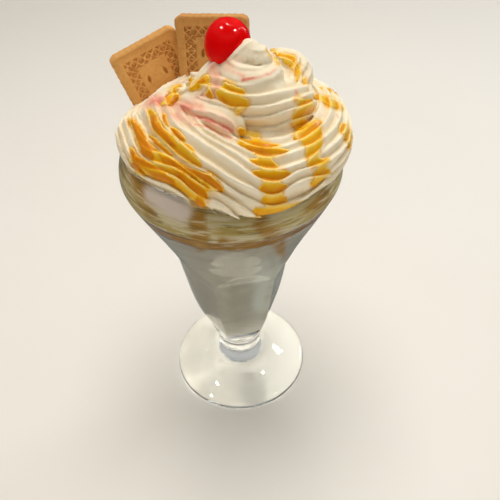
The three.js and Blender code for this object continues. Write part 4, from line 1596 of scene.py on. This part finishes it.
# ------------------------------------------------------------------ stage
def floor():
    n = 24
    xs = np.linspace(-1500, 1500, n)
    v = np.array([[x, y, -0.02 - 0.0 * (x + y)] for y in xs for x in xs])
    i, j = np.meshgrid(np.arange(n - 1), np.arange(n - 1))
    a = (j * n + i).ravel()
    ob = make("floor", v, np.column_stack([a, a + 1, a + n + 1, a + n]))
    m = Nodes("floor")
    col = m.ramp(m.noise(3, 3), [(0.3, srgb(246, 242, 236)), (0.7, srgb(249, 246, 241))])
    s = m.principled(Base_Color=col, Roughness=0.6, Normal=m.bump(m.noise(150, 3), 0.0003, 0.2))
    # the glass mirrors a darker room than the pale floor
    dim = m.principled(Base_Color=m.ramp(m.noise(6, 3), [(0.35, (0.10, 0.11, 0.13, 1)), (0.65, (0.20, 0.215, 0.235, 1))]), Roughness=0.8)
    far = m.new("ShaderNodeVectorMath", operation="LENGTH")
    m.link(m.coords(), far.inputs[0])
    blue = m.ramp(m.noise(9, 3), [(0.35, (0.02, 0.03, 0.06, 1)), (0.65, (0.05, 0.07, 0.12, 1))])
    blue = m.mix(m.remap(far.outputs["Value"], 0.042, 0.06, 0.0, 1.0), (0.16, 0.115, 0.06, 1), blue)
    deep = m.principled(Base_Color=blue, Roughness=0.8)
    way = m.new("ShaderNodeLightPath")
    dark = m.new("ShaderNodeMixShader")
    m.link(way.outputs["Is Transmission Ray"], dark.inputs[0])
    m.link(dim.outputs[0], dark.inputs[1])
    m.link(deep.outputs[0], dark.inputs[2])
    either = m.new("ShaderNodeMixShader")
    # seen through the glass's edge, the floor away from the foot is a dark blue
    parts = m.new("ShaderNodeSeparateXYZ")
    m.link(m.coords(), parts.inputs[0])
    out = m.remap(far.outputs["Value"], 0.045, 0.08, 0.46, 1.0)
    out = m.math("MULTIPLY", out, m.remap(parts.outputs["X"], -0.03, 0.05, 1.0, 0.45))
    out = m.math("MULTIPLY", out, way.outputs["Is Transmission Ray"])
    once = m.math("SUBTRACT", 1.0, m.math("MINIMUM", way.outputs["Diffuse Depth"], 1.0))
    back = m.math("SUBTRACT", way.outputs["Is Glossy Ray"], way.outputs["Is Transmission Ray"])
    m.link(m.math("MULTIPLY", once, m.math("MAXIMUM", back, out)), either.inputs[0])
    m.link(s.outputs[0], either.inputs[1])
    m.link(dark.outputs[0], either.inputs[2])
    # light thrown back up under the bowl
    glow = m.new("ShaderNodeEmission")
    glow.inputs[0].default_value = (1.0, 0.95, 0.86, 1)
    up = m.math("MULTIPLY", m.math("MINIMUM", way.outputs["Diffuse Depth"], 1.0), 0.42)
    m.link(m.math("MULTIPLY", up, m.remap(far.outputs["Value"], 0.040, 0.048, 0.0, 1.0)), glow.inputs[1])
    both = m.new("ShaderNodeAddShader")
    m.link(either.outputs[0], both.inputs[0])
    m.link(glow.outputs[0], both.inputs[1])
    put(ob, m.done(both.outputs[0]))
    return ob


def area(name, at, aim, size, power, color=(1, 1, 1)):
    d = bpy.data.lights.new(name, "AREA")
    d.shape = "RECTANGLE"
    d.size, d.size_y = size
    d.energy = power
    d.color = color
    ob = bpy.data.objects.new(name, d)
    SCENE.collection.objects.link(ob)
    ob.location = at
    v = Vector(aim) - Vector(at)
    ob.rotation_euler = v.to_track_quat("-Z", "Y").to_euler()
    return ob


floor()


def light(name, at, aim, size, power, color, seen):
    """seen: whether it shows in glossy and clear surfaces."""
    ob = area(name, at, aim, size, power, color)
    ob.visible_glossy = seen
    ob.visible_transmission = seen
    return ob


light("above", (0.02, 0.16, 1.0), (0, 0, 0.17), (0.5, 0.5), 5.4, (1.0, 0.97, 0.92), False)
light("fill", (-0.5, -0.9, 0.6), (0, 0, 0.15), (0.6, 0.6), 0.55, (1.0, 0.92, 0.80), False)
# small lamps and a window that show as glints
for name, at, size, power, color in (
    ("lamp 1", (-0.30, 0.10, 0.95), 0.05, 3.0, (1.0, 0.93, 0.80)),
    ("lamp 2", (0.10, 0.45, 0.95), 0.06, 3.6, (1.0, 0.95, 0.85)),
    ("lamp 3", (0.42, -0.10, 0.85), 0.05, 2.6, (1.0, 0.95, 0.88)),
):
    lamp = light(name, at, (0, 0, 0.17), (size, size), power, color, True)
    lamp.visible_diffuse = False
    lamp.visible_transmission = False
light("window", (0.75, 0.55, 0.55), (0, 0, 0.15), (0.18, 0.4), 1.6, (0.85, 0.94, 1.0), True)

world = bpy.data.worlds.new("world")
SCENE.world = world
world.use_nodes = True
wt = world.node_tree
bg = wt.nodes["Background"]
geo = wt.nodes.new("ShaderNodeTexCoord")
sep = wt.nodes.new("ShaderNodeSeparateXYZ")
ramp = wt.nodes.new("ShaderNodeValToRGB")
wt.links.new(geo.outputs["Generated"], sep.inputs[0])
wt.links.new(sep.outputs["Z"], ramp.inputs["Fac"])
ramp.color_ramp.elements[0].position = 0.0
ramp.color_ramp.elements[0].color = (0.10, 0.115, 0.14, 1)
ramp.color_ramp.elements[1].position = 1.0
ramp.color_ramp.elements[1].color = (0.30, 0.30, 0.29, 1)
for at, level in ((0.45, 0.26), (0.62, 0.85), (0.8, 0.85), (0.9, 0.42)):
    stop = ramp.color_ramp.elements.new(at)
    stop.color = (level, 0.98 * level, 0.94 * level, 1)
# what lights the food is warmer and more even than what the glass mirrors
warm = wt.nodes.new("ShaderNodeValToRGB")
wt.links.new(sep.outputs["Z"], warm.inputs["Fac"])
warm.color_ramp.elements[0].position = 0.0
warm.color_ramp.elements[0].color = (0.53, 0.48, 0.39, 1)
warm.color_ramp.elements[1].position = 0.9
warm.color_ramp.elements[1].color = (0.65, 0.61, 0.54, 1)
way = wt.nodes.new("ShaderNodeLightPath")
pick = wt.nodes.new("ShaderNodeMix")
pick.data_type = "RGBA"
wt.links.new(way.outputs["Diffuse Depth"], pick.inputs[0])
pick.clamp_factor = True
wt.links.new(ramp.outputs["Color"], pick.inputs[6])
wt.links.new(warm.outputs["Color"], pick.inputs[7])
# beyond the floor's edge the room is as pale as the floor
plain = wt.nodes.new("ShaderNodeMix")
plain.data_type = "RGBA"
plain.inputs[7].default_value = (1.35, 1.30, 1.22, 1)
wt.links.new(way.outputs["Is Camera Ray"], plain.inputs[0])
wt.links.new(pick.outputs[2], plain.inputs[6])
wt.links.new(plain.outputs[2], bg.inputs["Color"])
bg.inputs[1].default_value = 0.6


# ------------------------------------------------------------------ update
bpy.context.view_layer.update()
